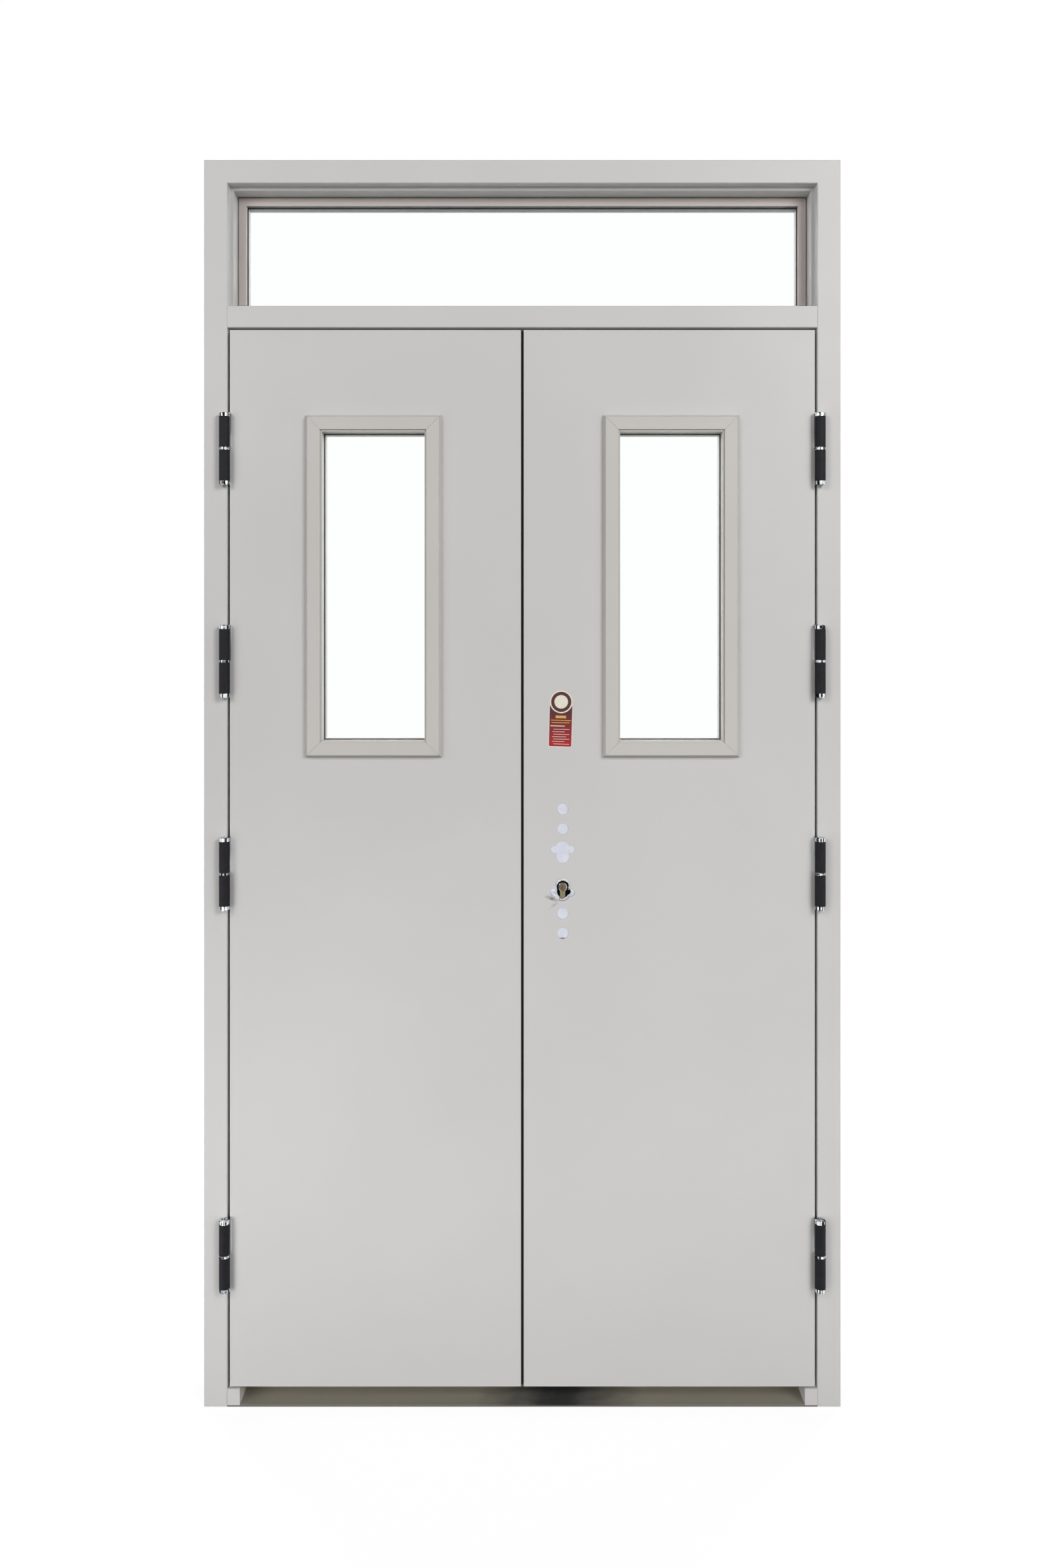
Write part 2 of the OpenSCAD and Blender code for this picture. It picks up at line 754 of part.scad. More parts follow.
// Moving half of a left hinge: upper knuckle, bored for the pin, and the plate on the leaf
module hinge_leaf_half(side, n) {
    z1 = hinge_z[n - 1] + hinge_l / 2;
    color(dark) from_front() on_side(side) difference() {
        union() {
            translate([-pin_x, pin_y, z1]) mirror([0, 0, 1])
                rotate_extrude() polygon(knuckle_profile());
            translate([-lip_x, pin_y, z1 - knuckle_h])
                cube([plate_t, plate_depth - pin_y, knuckle_h]);
        }
        translate([-pin_x, pin_y, z1 - knuckle_h - over])
            cylinder(r = pin_r + pin_clear, h = knuckle_h - cap_h + over);
    }
}

jamb("left");  // left_jamb
jamb("right");  // right_jamb
frame_head();
transom_bar();
threshold();
foot_block("left");  // left_foot_block
foot_block("right");  // right_foot_block
transom_glass();
transom_beads();
frame_seal();
wall_anchors("left");  // left_wall_anchors
wall_anchors("right");  // right_wall_anchors
front_skin("left");  // left_front_skin
rear_skin("left");  // left_rear_skin
core("left");  // left_core
front_trim("left");  // left_front_trim
rear_trim("left");  // left_rear_trim
sight_glass("left");  // left_glass
left_strike_plate();
left_flush_bolts();
front_skin("right");  // right_front_skin
rear_skin("right");  // right_rear_skin
core("right");  // right_core
front_trim("right");  // right_front_trim
rear_trim("right");  // right_rear_trim
sight_glass("right");  // right_glass
right_lock_case();
right_lock_bolts();
right_lock_cylinder();
for (side = ["left", "right"], n = [1:4]) {
    hinge_frame_half(side, n);
    hinge_leaf_half(side, n);
}
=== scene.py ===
# %% [markdown]
# A double-leaf fire rated steel door, dressed in cells. The steel itself (frame, leaves, trims,
# hinges, lock) comes from the imported model at its own size, and nothing here moves it. These
# cells give every surface its finish and add what is too small or too soft for the model:
# protective film over the lock cut-outs, the shrunk sleeves on the hinges, the brush seals, the
# gaskets round the glass, the screws, a dust plug and a plain paper seal. Along the top of each
# pane they also lay dark strips of painted shade.

# %% Load the imported model
import json
import math

import bmesh
import bpy
from mathutils import Matrix, Vector, noise


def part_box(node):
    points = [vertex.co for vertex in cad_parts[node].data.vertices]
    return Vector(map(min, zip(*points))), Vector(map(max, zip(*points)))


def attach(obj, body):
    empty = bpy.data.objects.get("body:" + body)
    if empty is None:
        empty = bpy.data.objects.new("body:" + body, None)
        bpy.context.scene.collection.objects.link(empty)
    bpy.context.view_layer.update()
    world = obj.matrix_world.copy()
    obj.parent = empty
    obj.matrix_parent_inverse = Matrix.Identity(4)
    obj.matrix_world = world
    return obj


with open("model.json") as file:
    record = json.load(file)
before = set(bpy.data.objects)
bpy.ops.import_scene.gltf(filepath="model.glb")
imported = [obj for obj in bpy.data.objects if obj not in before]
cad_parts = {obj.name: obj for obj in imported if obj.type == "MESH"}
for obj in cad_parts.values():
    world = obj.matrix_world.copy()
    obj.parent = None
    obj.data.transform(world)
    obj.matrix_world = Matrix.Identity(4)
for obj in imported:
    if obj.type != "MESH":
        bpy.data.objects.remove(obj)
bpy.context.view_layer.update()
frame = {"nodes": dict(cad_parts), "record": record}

# %% [markdown]
# All lengths are in metres, so small ones are written as a number of millimetres times MM. The
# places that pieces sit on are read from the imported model, so that they follow it.

# %% Places taken from the model
MM = 0.001
FACE_W, LEAF_T = 45 * MM, 50 * MM
BARREL_R = 8.5 * MM
jamb_low, jamb_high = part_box("left_jamb")
face_y = jamb_low[1]
rear_y = jamb_high[1]
frame_half_w = -jamb_low[0]
leaf_low, leaf_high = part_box("right_front_skin")
leaf_rear_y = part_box("right_rear_skin")[1][1]
cylinder_low, cylinder_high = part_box("right_lock_cylinder")
lock_x = (cylinder_low[0] + cylinder_high[0]) / 2
barrel_z = cylinder_high[2] - BARREL_R
SIDES = {"left": -1, "right": 1}
print(f"front face at y {face_y:.3f}, leaves {leaf_low[2]:.3f} to {leaf_high[2]:.3f} high")

# %% [markdown]
# The camera stands where the photographer stood: level, at about eye height, straight in front.
# The door's known width gives the scale, the scale and the perspective of the transom's reveals
# give the distance, and the lens is shifted down a little, as with a level view camera.

# %% Camera
PHOTO_W, PHOTO_H = 1568, 2352
LEFT_EDGE_PX, RIGHT_EDGE_PX = 306.0, 1261.5
FLOOR_PX, HORIZON_PX = 2110.0, 950.0
CAMERA_DISTANCE = 2.40
SENSOR = 36.0

metres_per_px = 2 * frame_half_w / (RIGHT_EDGE_PX - LEFT_EDGE_PX)
camera_data = bpy.data.cameras.new("camera")
camera_data.sensor_width = SENSOR
camera_data.lens = SENSOR * CAMERA_DISTANCE / (PHOTO_H * metres_per_px)
camera_data.shift_y = (HORIZON_PX - PHOTO_H / 2) / PHOTO_H
camera_data.shift_x = -((LEFT_EDGE_PX + RIGHT_EDGE_PX) / 2 - PHOTO_W / 2) / PHOTO_H
camera = bpy.data.objects.new("camera", camera_data)
camera.location = (0, face_y - CAMERA_DISTANCE, (FLOOR_PX - HORIZON_PX) * metres_per_px)
camera.rotation_euler = (math.radians(90), 0, 0)
bpy.context.scene.collection.objects.link(camera)
bpy.context.scene.camera = camera
bpy.context.scene.view_settings.view_transform = "Standard"
print(f"lens {camera_data.lens:.1f} mm, camera {camera.location.z:.2f} m high")


# %% [markdown]
# Colours are picked as they look on screen and turned into the linear values that shaders use.
# Each material starts from one small function that makes an empty material with its main shader,
# and a second that adds a soft noise, because no painted or rolled surface is perfectly even.

# %% Material helpers
def linear(r, g, b):
    """Screen colour, 0 to 255, as a linear RGBA value."""
    out = []
    for c in (r, g, b):
        c /= 255
        out.append(c / 12.92 if c <= 0.04045 else ((c + 0.055) / 1.055) ** 2.4)
    return (*out, 1.0)


def new_material(name, colour, roughness, metallic=0.0):
    """A material with a Principled shader; returns it with its node tree and shader."""
    material = bpy.data.materials.new(name)
    material.use_nodes = True
    tree = material.node_tree
    shader = tree.nodes["Principled BSDF"]
    shader.inputs["Base Color"].default_value = colour
    shader.inputs["Roughness"].default_value = roughness
    shader.inputs["Metallic"].default_value = metallic
    return material, tree, shader


def add_noise(tree, scale, detail=3.0, stretch=(1, 1, 1)):
    """A noise texture in the object's own coordinates; scale is in cells a metre."""
    place = tree.nodes.new("ShaderNodeTexCoord")
    mapping = tree.nodes.new("ShaderNodeMapping")
    mapping.inputs["Scale"].default_value = stretch
    texture = tree.nodes.new("ShaderNodeTexNoise")
    texture.inputs["Scale"].default_value = scale
    texture.inputs["Detail"].default_value = detail
    tree.links.new(place.outputs["Object"], mapping.inputs["Vector"])
    tree.links.new(mapping.outputs["Vector"], texture.inputs["Vector"])
    return texture.outputs["Fac"]


def vary(tree, factor, socket, low, high, from_low=0.3, from_high=0.7):
    """Drives a shader's socket with a factor, between two numbers or two colours."""
    if isinstance(low, tuple):
        ramp = tree.nodes.new("ShaderNodeValToRGB")
        ramp.color_ramp.elements[0].position = from_low
        ramp.color_ramp.elements[0].color = low
        ramp.color_ramp.elements[1].position = from_high
        ramp.color_ramp.elements[1].color = high
        tree.links.new(factor, ramp.inputs["Fac"])
        tree.links.new(ramp.outputs["Color"], socket)
        return
    span = tree.nodes.new("ShaderNodeMapRange")
    span.inputs["From Min"].default_value = from_low
    span.inputs["From Max"].default_value = from_high
    span.inputs["To Min"].default_value = low
    span.inputs["To Max"].default_value = high
    tree.links.new(factor, span.inputs["Value"])
    tree.links.new(span.outputs["Result"], socket)


def place_axes(tree):
    """The object's own coordinates, as outputs X, Y and Z."""
    place = tree.nodes.new("ShaderNodeTexCoord")
    split = tree.nodes.new("ShaderNodeSeparateXYZ")
    tree.links.new(place.outputs["Object"], split.inputs[0])
    return split.outputs


def add_bump(tree, shader, factor, height, strength=1.0):
    """Bumps the shader's surface by a height in metres."""
    bump = tree.nodes.new("ShaderNodeBump")
    bump.inputs["Strength"].default_value = strength
    bump.inputs["Distance"].default_value = height
    tree.links.new(factor, bump.inputs["Height"])
    tree.links.new(bump.outputs["Normal"], shader.inputs["Normal"])


# %% [markdown]
# The steel is powder coated in a pale, slightly warm grey. Powder coat melts into a smooth skin
# with a very fine orange peel, so the bump is a fraction of a millimetre wide and the gloss is
# satin. The vision trims and glazing beads are from another batch, a touch browner.

# %% Powder coat
def powder_coat(name, dark, light):
    material, tree, shader = new_material(name, light, 0.42)
    vary(tree, add_noise(tree, 2.2), shader.inputs["Base Color"], dark, light)
    vary(tree, add_noise(tree, 7.0), shader.inputs["Roughness"], 0.42, 0.52)
    shader.inputs["Specular IOR Level"].default_value = 0.3
    add_bump(tree, shader, add_noise(tree, 900.0, 2.0), 0.00002)
    return material


paint = powder_coat("powder_coat", linear(203, 202, 200), linear(208, 207, 206))
trim_paint = powder_coat("trim_coat", linear(199, 196, 191), linear(204, 201, 197))
bead_paint = powder_coat("bead_coat", linear(193, 183, 179), linear(199, 189, 185))
print("powder coats:", paint.name, trim_paint.name, bead_paint.name)

# %% [markdown]
# Round the torn film at the cylinder, the film that lifts off the leaf throws a grey shadow down
# to the left, and that shadow is painted into the coat: a painted shadow. The front skin of that
# leaf gets its own copy of the coat, darkened inside a stretched oval. The oval is a soft sphere
# texture in the skin's own coordinates, broken up by noise.

# %% Painted shadow below the torn film
# Darkens a coat inside soft ovals: a painted shadow.
def paint_film_shadow(material, spots, dark):
    tree = material.node_tree
    shader = tree.nodes["Principled BSDF"]
    colour = shader.inputs["Base Color"].links[0].from_socket
    for (x, z), (length, width), turn, strength in spots:
        place = tree.nodes.new("ShaderNodeTexCoord")
        oval = tree.nodes.new("ShaderNodeMapping")
        oval.vector_type = "TEXTURE"
        oval.inputs["Location"].default_value = (x, face_y, z)
        oval.inputs["Rotation"].default_value = (0, math.radians(turn), 0)
        oval.inputs["Scale"].default_value = (length, 1, width)
        ball = tree.nodes.new("ShaderNodeTexGradient")
        ball.gradient_type = "SPHERICAL"
        amount = tree.nodes.new("ShaderNodeMath")
        amount.operation = "MULTIPLY"
        mix = tree.nodes.new("ShaderNodeMix")
        mix.data_type = "RGBA"
        mix.inputs["B"].default_value = dark
        tree.links.new(place.outputs["Object"], oval.inputs["Vector"])
        tree.links.new(oval.outputs["Vector"], ball.inputs["Vector"])
        tree.links.new(ball.outputs["Fac"], amount.inputs[0])
        vary(tree, add_noise(tree, 120.0, 4.0, (1, 1, 2)), amount.inputs[1], strength * 0.3,
             strength)
        tree.links.new(amount.outputs[0], mix.inputs["Factor"])
        tree.links.new(colour, mix.inputs["A"])
        colour = mix.outputs["Result"]
    tree.links.new(colour, shader.inputs["Base Color"])


# The lock leaf's front skin, with the shadow of the lifted film painted on below the cylinder.
film_shadow_paint = powder_coat("film_shadow_coat", linear(203, 202, 200), linear(208, 207, 206))
tear_x, tear_z = lock_x, barrel_z - 13 * MM
paint_film_shadow(film_shadow_paint, [((tear_x - 20 * MM, tear_z - 9 * MM), (17 * MM, 5 * MM), 18, 1.5),
                      ((tear_x - 17 * MM, tear_z - 22 * MM), (16 * MM, 3.5 * MM), -38, 0.5)],
      linear(104, 105, 107))
print("smeared coat:", film_shadow_paint.name)

# %% [markdown]
# Stainless steel and plated steel are metals: their colour is in the reflection. The tread was
# rolled and then walked on, so its grain runs along it and its gloss is uneven; a band near its
# middle is darker, which is wear together with a painted reflection of the dark leaves above it,
# and it is darker below about 2 mm above the floor. Zinc plate is cloudier and bluer, and the
# hinge caps are polished chrome.

# %% Bare metals
def grained_metal(name, colour, rough_low, rough_high, stretch, grain):
    material, tree, shader = new_material(name, colour, rough_low, metallic=1.0)
    vary(tree, add_noise(tree, 24.0, 4.0, stretch), shader.inputs["Roughness"],
         rough_low, rough_high)
    add_bump(tree, shader, add_noise(tree, grain, 2.0, stretch), 0.00002)
    return material


def tread_steel():
    """Rolled stainless, darker in a band where people step, which is wear and a painted reflection
    of the dark leaves, and darker below about 2 mm above the floor.
    """
    material, tree, shader = new_material("stainless", linear(150, 146, 138), 0.42, metallic=0.55)
    axes = place_axes(tree)
    from_wear_and_reflection = tree.nodes.new("ShaderNodeMath")
    from_wear_and_reflection.operation = "SUBTRACT"
    from_wear_and_reflection.inputs[1].default_value = WEAR_AND_REFLECTION_X
    distance = tree.nodes.new("ShaderNodeMath")
    distance.operation = "ABSOLUTE"
    ragged = tree.nodes.new("ShaderNodeMath")
    ragged.operation = "MULTIPLY_ADD"
    ragged.inputs[1].default_value = 0.10
    tree.links.new(axes["X"], from_wear_and_reflection.inputs[0])
    tree.links.new(from_wear_and_reflection.outputs[0], distance.inputs[0])
    tree.links.new(add_noise(tree, 22.0, 6.0, (1, 2, 1)), ragged.inputs[0])
    tree.links.new(distance.outputs[0], ragged.inputs[2])
    # Darker round the middle of the band: wear, and a painted reflection of the dark leaves.
    vary(tree, ragged.outputs[0], shader.inputs["Base Color"], linear(78, 78, 78),
         linear(172, 167, 155), 0.07, 0.21)
    plain = shader.inputs["Base Color"].links[0].from_socket
    # Darker below about 2 mm above the floor.
    darker_low_band = tree.nodes.new("ShaderNodeMix")
    darker_low_band.data_type = "RGBA"
    darker_low_band.inputs["A"].default_value = linear(84, 82, 77)
    vary(tree, axes["Z"], darker_low_band.inputs["Factor"], 0.0, 1.0, 0.0021, 0.0028)
    tree.links.new(plain, darker_low_band.inputs["B"])
    tree.links.new(darker_low_band.outputs["Result"], shader.inputs["Base Color"])
    vary(tree, add_noise(tree, 30.0, 4.0, (0.08, 1, 1)), shader.inputs["Roughness"], 0.34, 0.56)
    add_bump(tree, shader, add_noise(tree, 700.0, 2.0, (0.06, 1, 1)), 0.00002)
    return material


def chrome_with_painted_reflections():
    """Bright plating whose dark streaks along the pin are painted reflections, put into the base
    colour.
    """
    material, tree, shader = new_material("painted_reflection_chrome", linear(200, 202, 206), 0.12, metallic=1.0)
    # Painted reflection: dark and bright streaks in the base colour stand for a dark room mirrored
    # in the caps.
    vary(tree, add_noise(tree, 230.0, 2.0, (1, 1, 0.04)), shader.inputs["Base Color"],
         linear(14, 18, 20), linear(236, 240, 242), 0.44, 0.56)
    return material


# Middle of the tread's darker band, of wear and painted reflection.
WEAR_AND_REFLECTION_X = 0.07
stainless = tread_steel()
# The lock case: a zinc face plate on the leaf's edge, split off by X, and a black case behind it;
# its black is also painted shade for the inside of the cut-outs.
black_case_and_shade, tree, shader = new_material("lock_case_black_and_shade", linear(30, 30, 32), 0.55, 0.6)
vary(tree, place_axes(tree)["X"], shader.inputs["Base Color"], linear(176, 178, 178),
     linear(26, 26, 28), 0.0075, 0.0080)
zinc = grained_metal("zinc_plate", linear(178, 180, 180), 0.30, 0.50, (1, 1, 1), 300.0)
painted_reflection_chrome = chrome_with_painted_reflections()
nickel = grained_metal("nickel_brass", linear(134, 126, 98), 0.18, 0.34, (1, 1, 0.2), 900.0)
plug_brown = grained_metal("plug_face", linear(104, 92, 76), 0.22, 0.40, (1, 1, 1), 900.0)
print("metals:", stainless.name, zinc.name, painted_reflection_chrome.name, nickel.name)


# %% [markdown]
# Soft and dull finishes: black rubber for the seals, which also colours the painted shade strips
# over the leaves' glass; the mineral core board seen in the cut-outs, darkened to paint the shade
# inside them; the dark plastic sleeve on the hinges; and the pale protective film that was left on
# the leaf under the handle.

# %% Rubber, board, film and paper
def dull(name, dark, light, roughness, cell, height, stretch=(1, 1, 1)):
    material, tree, shader = new_material(name, light, roughness)
    vary(tree, add_noise(tree, cell, 4.0, stretch), shader.inputs["Base Color"], dark, light)
    add_bump(tree, shader, add_noise(tree, cell * 3, 3.0, stretch), height)
    return material


# Seal rubber; it also colours the painted shade strips over the leaves' glass.
rubber_and_shade = dull("seal_rubber", linear(22, 22, 24), linear(34, 34, 37), 0.75, 60.0, 0.0001)
shaded_strip = dull("shaded_strip", linear(140, 142, 143), linear(152, 154, 155), 0.6, 60.0,
                    0.00002)
# Core board, darkened as painted shade for the inside of the cut-outs and for the keyway.
board_painted_dark = dull("core_board", linear(38, 35, 33), linear(62, 57, 52), 0.95, 160.0, 0.0006)
sleeve_black = dull("hinge_sleeve", linear(9, 9, 13), linear(20, 19, 27), 0.60, 90.0, 0.0002)
sleeve_black.node_tree.nodes["Principled BSDF"].inputs["Specular IOR Level"].default_value = 0.2
film_white = dull("protective_film", linear(213, 216, 228), linear(226, 229, 238), 0.30, 70.0,
                  0.0003)
pile = dull("brush_pile", linear(16, 16, 18), linear(40, 40, 42), 0.9, 500.0, 0.0004, (8, 8, 0.5))
print("dull finishes:", rubber_and_shade.name, board_painted_dark.name, sleeve_black.name, film_white.name, pile.name)

# %% [markdown]
# The panes are clear. Fire glass is several sheets with clear layers between, so it is thick and
# a little green. Real glass is nearly invisible here, because white stands behind it.

# %% Glass
def clear_glass(name, colour):
    material, tree, shader = new_material(name, colour, 0.0)
    shader.inputs["Transmission Weight"].default_value = 1.0
    shader.inputs["IOR"].default_value = 1.45
    add_bump(tree, shader, add_noise(tree, 3.0, 1.0), 0.00004, 0.3)
    return material


fire_glass = clear_glass("fire_glass", linear(252, 255, 254))
light_glass = clear_glass("transom_glass", linear(253, 255, 254))
print("glass:", fire_glass.name, light_glass.name)

# %% [markdown]
# Each node of the model carries the name of a finish, so one table is enough to dress them all.

# %% Dress the model's own nodes
finishes = {
    "paint": paint, "trim_paint": trim_paint, "stainless": stainless,
    "transom_glass": light_glass, "fire_glass": fire_glass, "seal": rubber_and_shade,
    "zinc_plate": zinc, "cylinder_brass": nickel, "core_board": board_painted_dark, "hinge_sleeve": painted_reflection_chrome,
}
slot_of = {s["node"]: s["material_slot"] for s in frame["record"]["subparts"]}
for node, obj in frame["nodes"].items():
    for holder in obj.material_slots:
        holder.material = finishes[slot_of[node]]
for node, material in (("right_front_skin", film_shadow_paint), ("right_lock_case", black_case_and_shade),
                       ("transom_beads", bead_paint)):
    for holder in frame["nodes"][node].material_slots:
        holder.material = material
print("dressed", len(frame["nodes"]), "nodes in", len(finishes), "finishes")


# %% [markdown]
# New pieces are meshes made from lists of corners and faces. A helper puts each one in the scene
# and says which body it rides on and which finish it belongs to.

# %% Piece helpers
def mesh_from(name, corners, faces, smooth=True):
    mesh = bpy.data.meshes.new(name)
    mesh.from_pydata([tuple(c) for c in corners], [], faces)
    mesh.validate()
    if smooth:
        mesh.shade_smooth()
    return mesh


def add_piece(name, mesh, material, body):
    obj = bpy.data.objects.new(name, mesh)
    obj.data.materials.append(material)
    bpy.context.scene.collection.objects.link(obj)
    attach(obj, body)
    return obj


def soft_box(bm, low, high, radius, steps=2):
    """Adds a box with rounded edges between two corners to a bmesh."""
    made = bmesh.ops.create_cube(bm, size=1.0)["verts"]
    centre = (Vector(low) + Vector(high)) / 2
    size = Vector(high) - Vector(low)
    for v in made:
        v.co = Vector((v.co.x * size.x, v.co.y * size.y, v.co.z * size.z)) + centre
    edges = list({e for v in made for e in v.link_edges})
    bmesh.ops.bevel(bm, geom=edges, offset=radius, segments=steps, affect="EDGES",
                    profile=0.5)


def mesh_of_boxes(name, boxes, radius):
    """One mesh of several rounded boxes."""
    bm = bmesh.new()
    for low, high in boxes:
        soft_box(bm, low, high, radius)
    mesh = bpy.data.meshes.new(name)
    bm.to_mesh(mesh)
    bm.free()
    mesh.shade_smooth()
    return mesh


def disc_faces(rings, spokes):
    """Faces of a disc: corner 0 in the middle, then rings of points round it."""
    faces = [(0, 1 + k, 1 + (k + 1) % spokes) for k in range(spokes)]
    for ring in range(rings - 1):
        a, b = 1 + ring * spokes, 1 + (ring + 1) * spokes
        faces += [(a + k, b + k, b + (k + 1) % spokes, a + (k + 1) % spokes)
                  for k in range(spokes)]
    return faces


def lathe(profile, steps, turn=math.tau, start=0.0):
    """Corners and faces of a profile of (radius, height) points turned about Z."""
    closed = abs(turn - math.tau) < 1e-6
    rings = steps if closed else steps + 1
    corners = [(r * math.cos(start + turn * i / steps), r * math.sin(start + turn * i / steps), z)
               for i in range(rings) for r, z in profile]
    n = len(profile)
    faces = []
    for i in range(steps):
        a, b = i * n, ((i + 1) % rings) * n
        faces += [(a + k, b + k, b + k + 1, a + k + 1) for k in range(n - 1)]
    return corners, faces


# %% [markdown]
# The hinges came with a shrunk black sleeve over each knuckle; the polished caps at the ends and
# the ring between the knuckles stay bare. A sleeve is a thin tube that stops where the hinge
# plate leaves the knuckle. Small folds are pushed outward with a smooth noise, so that it
# catches the light like film and never sinks into the steel.

# %% Hinge sleeves
KNUCKLE_R, KNUCKLE_CLEAR = 10.25 * MM, 0.25 * MM
PIN_INSET = 3 * MM
CAP_H = 7.6 * MM
SLEEVE_GAP = 0.06 * MM
SLEEVE_FOLD = 0.16 * MM
RING_H = 3.5 * MM
SLEEVE_END_GAP = 0.5 * MM
SLEEVE_WRAP, SLEEVE_INNER = math.radians(148), math.radians(88)
SLEEVE_STEPS, SLEEVE_ROWS = 44, 34
HINGES = range(1, 5)


def sleeve_mesh(name, axis_x, axis_y, low_z, high_z, angle_from, angle_to, seed):
    corners = []
    for row in range(SLEEVE_ROWS + 1):
        v = row / SLEEVE_ROWS
        for col in range(SLEEVE_STEPS + 1):
            u = col / SLEEVE_STEPS
            angle = angle_from + (angle_to - angle_from) * u
            z = low_z + (high_z - low_z) * v
            edge = 0.5 * MM * noise.noise(Vector((u * 9, seed, 4.0)))
            z += edge * (1 if v == 0 else -1 if v == 1 else 0)
            folds = noise.fractal(Vector((u * 5, v * 16 + seed, seed * 2.0)), 1.0, 2.0, 3)
            radius = KNUCKLE_R + SLEEVE_GAP + SLEEVE_FOLD * min(1.0, max(0.0, folds))
            corners.append((axis_x + radius * math.sin(angle),
                            axis_y - radius * math.cos(angle), z))
    wide = SLEEVE_STEPS + 1
    faces = [(r * wide + c, r * wide + c + 1, (r + 1) * wide + c + 1, (r + 1) * wide + c)
             for r in range(SLEEVE_ROWS) for c in range(SLEEVE_STEPS)]
    return mesh_from(name, corners, faces)


rebate_x = frame_half_w - FACE_W
pin_x = rebate_x + PIN_INSET
pin_y = face_y - KNUCKLE_R - KNUCKLE_CLEAR
for side, sign in SIDES.items():
    for n in HINGES:
        fixed_low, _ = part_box(f"{side}_hinge_{n}_frame_half")
        moving_low, moving_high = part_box(f"{side}_hinge_{n}_leaf_half")
        seed = n + (10 if side == "right" else 0)
        lower = sleeve_mesh(f"{side}_hinge_{n}_lower_sleeve", sign * pin_x, pin_y,
                            fixed_low[2] + CAP_H, moving_low[2] - RING_H - SLEEVE_END_GAP,
                            -SLEEVE_WRAP, SLEEVE_WRAP, seed)
        add_piece(lower.name, lower, sleeve_black, "frame")
        ends = ((-SLEEVE_INNER, SLEEVE_WRAP) if sign > 0
                else (-SLEEVE_WRAP, SLEEVE_INNER))
        upper = sleeve_mesh(f"{side}_hinge_{n}_upper_sleeve", sign * pin_x, pin_y,
                            moving_low[2] + SLEEVE_END_GAP, moving_high[2] - CAP_H,
                            *ends, seed + 0.5)
        add_piece(upper.name, upper, sleeve_black, f"{side}_leaf")
print("sleeves on", 2 * len(HINGES), "hinges, around a pin axis at x", round(pin_x, 4))


# %% [markdown]
# The protective film on the lock leaf was cut neither at the fixing holes nor at the clover
# openings, so each opening holds a taut pale skin that dips a little behind the steel. The film
# is drawn as rings of points that shrink towards the opening's middle. The clover is a few
# circles joined, so the distance to its edge is the farthest circle that a ray from its middle
# crosses.

# %% Protective film over the cut-outs
FIXING_R, FIXING_PITCH = 11 * MM, 38 * MM
OPENING_PITCH = 82.5 * MM
SLIT = 2.1 * MM
CLOVER = [((0, 2.7 * MM), 13.8 * MM), ((0, -13.1 * MM), 13.3 * MM),
          ((-16 * MM, 0), 7.5 * MM), ((16 * MM, 0), 7.5 * MM)]
FILM_TURNS, FILM_RINGS = 120, 24
FILM_DIP, FILM_RIM_DIP, FILM_RIM_W = 0.35 * MM, 0.75 * MM, 0.8 * MM


def reach(circles, angle):
    """Distance from the middle to the edge of joined circles along a ray."""
    dx, dz = math.cos(angle), math.sin(angle)
    far = 0.0
    for (cx, cz), r in circles:
        along = cx * dx + cz * dz
        off = cx * cx + cz * cz - along * along
        if r * r > off:
            far = max(far, along + math.sqrt(r * r - off))
    return far


def film_mesh(name, circles, x, z, y, facing, seed, slit=0.0):
    """Film across an opening at depth y; facing is -1 for the front and 1 for the rear."""
    corners = [(x, y - facing * FILM_DIP, z)]
    for ring in range(1, FILM_RINGS + 1):
        t = ring / FILM_RINGS
        for k in range(FILM_TURNS):
            angle = math.tau * k / FILM_TURNS
            edge = reach(circles, angle) - 0.05 * MM
            if slit and math.sin(angle) < 0:
                edge = min(edge, (FIXING_R - slit) / -math.sin(angle))
            px, pz = edge * t * math.cos(angle), edge * t * math.sin(angle)
            dip = FILM_DIP + FILM_RIM_DIP * max(0.0, 1 - (1 - t) * edge / FILM_RIM_W)
            dip += 0.5 * MM * (1 - t) * noise.noise(Vector((px * 160, pz * 160, seed)))
            corners.append((x + px, y - facing * dip, z + pz))
    return mesh_from(name, corners, disc_faces(FILM_RINGS, FILM_TURNS))


SPINDLE_Z = next(sum(box["box_m"][k][2] for k in (0, 1)) / 2
                 for box in frame["record"]["physics"]["openings"]
                 if box["name"] == "spindle_hole")
CYLINDER_HOLE_Z = SPINDLE_Z - OPENING_PITCH
CLOVER_DOWN = [((cx, -cz), r) for (cx, cz), r in CLOVER]
FIXING_Z = [mount["pos_m"][2] + way * FIXING_PITCH / 2 for mount in frame["record"]["mounts"]
            if mount["name"].startswith("handle_fixings") for way in (1, -1)]
lock_body = "right_leaf"
for n, z in enumerate(FIXING_Z):
    slit = SLIT if z == min(FIXING_Z) else 0.0
    disc = [((0, 0), FIXING_R)]
    film = film_mesh(f"fixing_film_{n}", disc, lock_x, z, face_y, -1, n, slit)
    add_piece(film.name, film, film_white, lock_body)
    back = film_mesh(f"rear_fixing_film_{n}", disc, lock_x, z, leaf_rear_y, 1, n + 9)
    add_piece(back.name, back, film_white, lock_body)
for name, circles, z, y, facing in (
        ("spindle_film", CLOVER, SPINDLE_Z, face_y, -1),
        ("rear_spindle_film", CLOVER, SPINDLE_Z, leaf_rear_y, 1),
        ("rear_cylinder_film", CLOVER_DOWN, CYLINDER_HOLE_Z, leaf_rear_y, 1)):
    film = film_mesh(name, circles, lock_x, z, y, facing, z * 10)
    add_piece(name, film, film_white, lock_body)


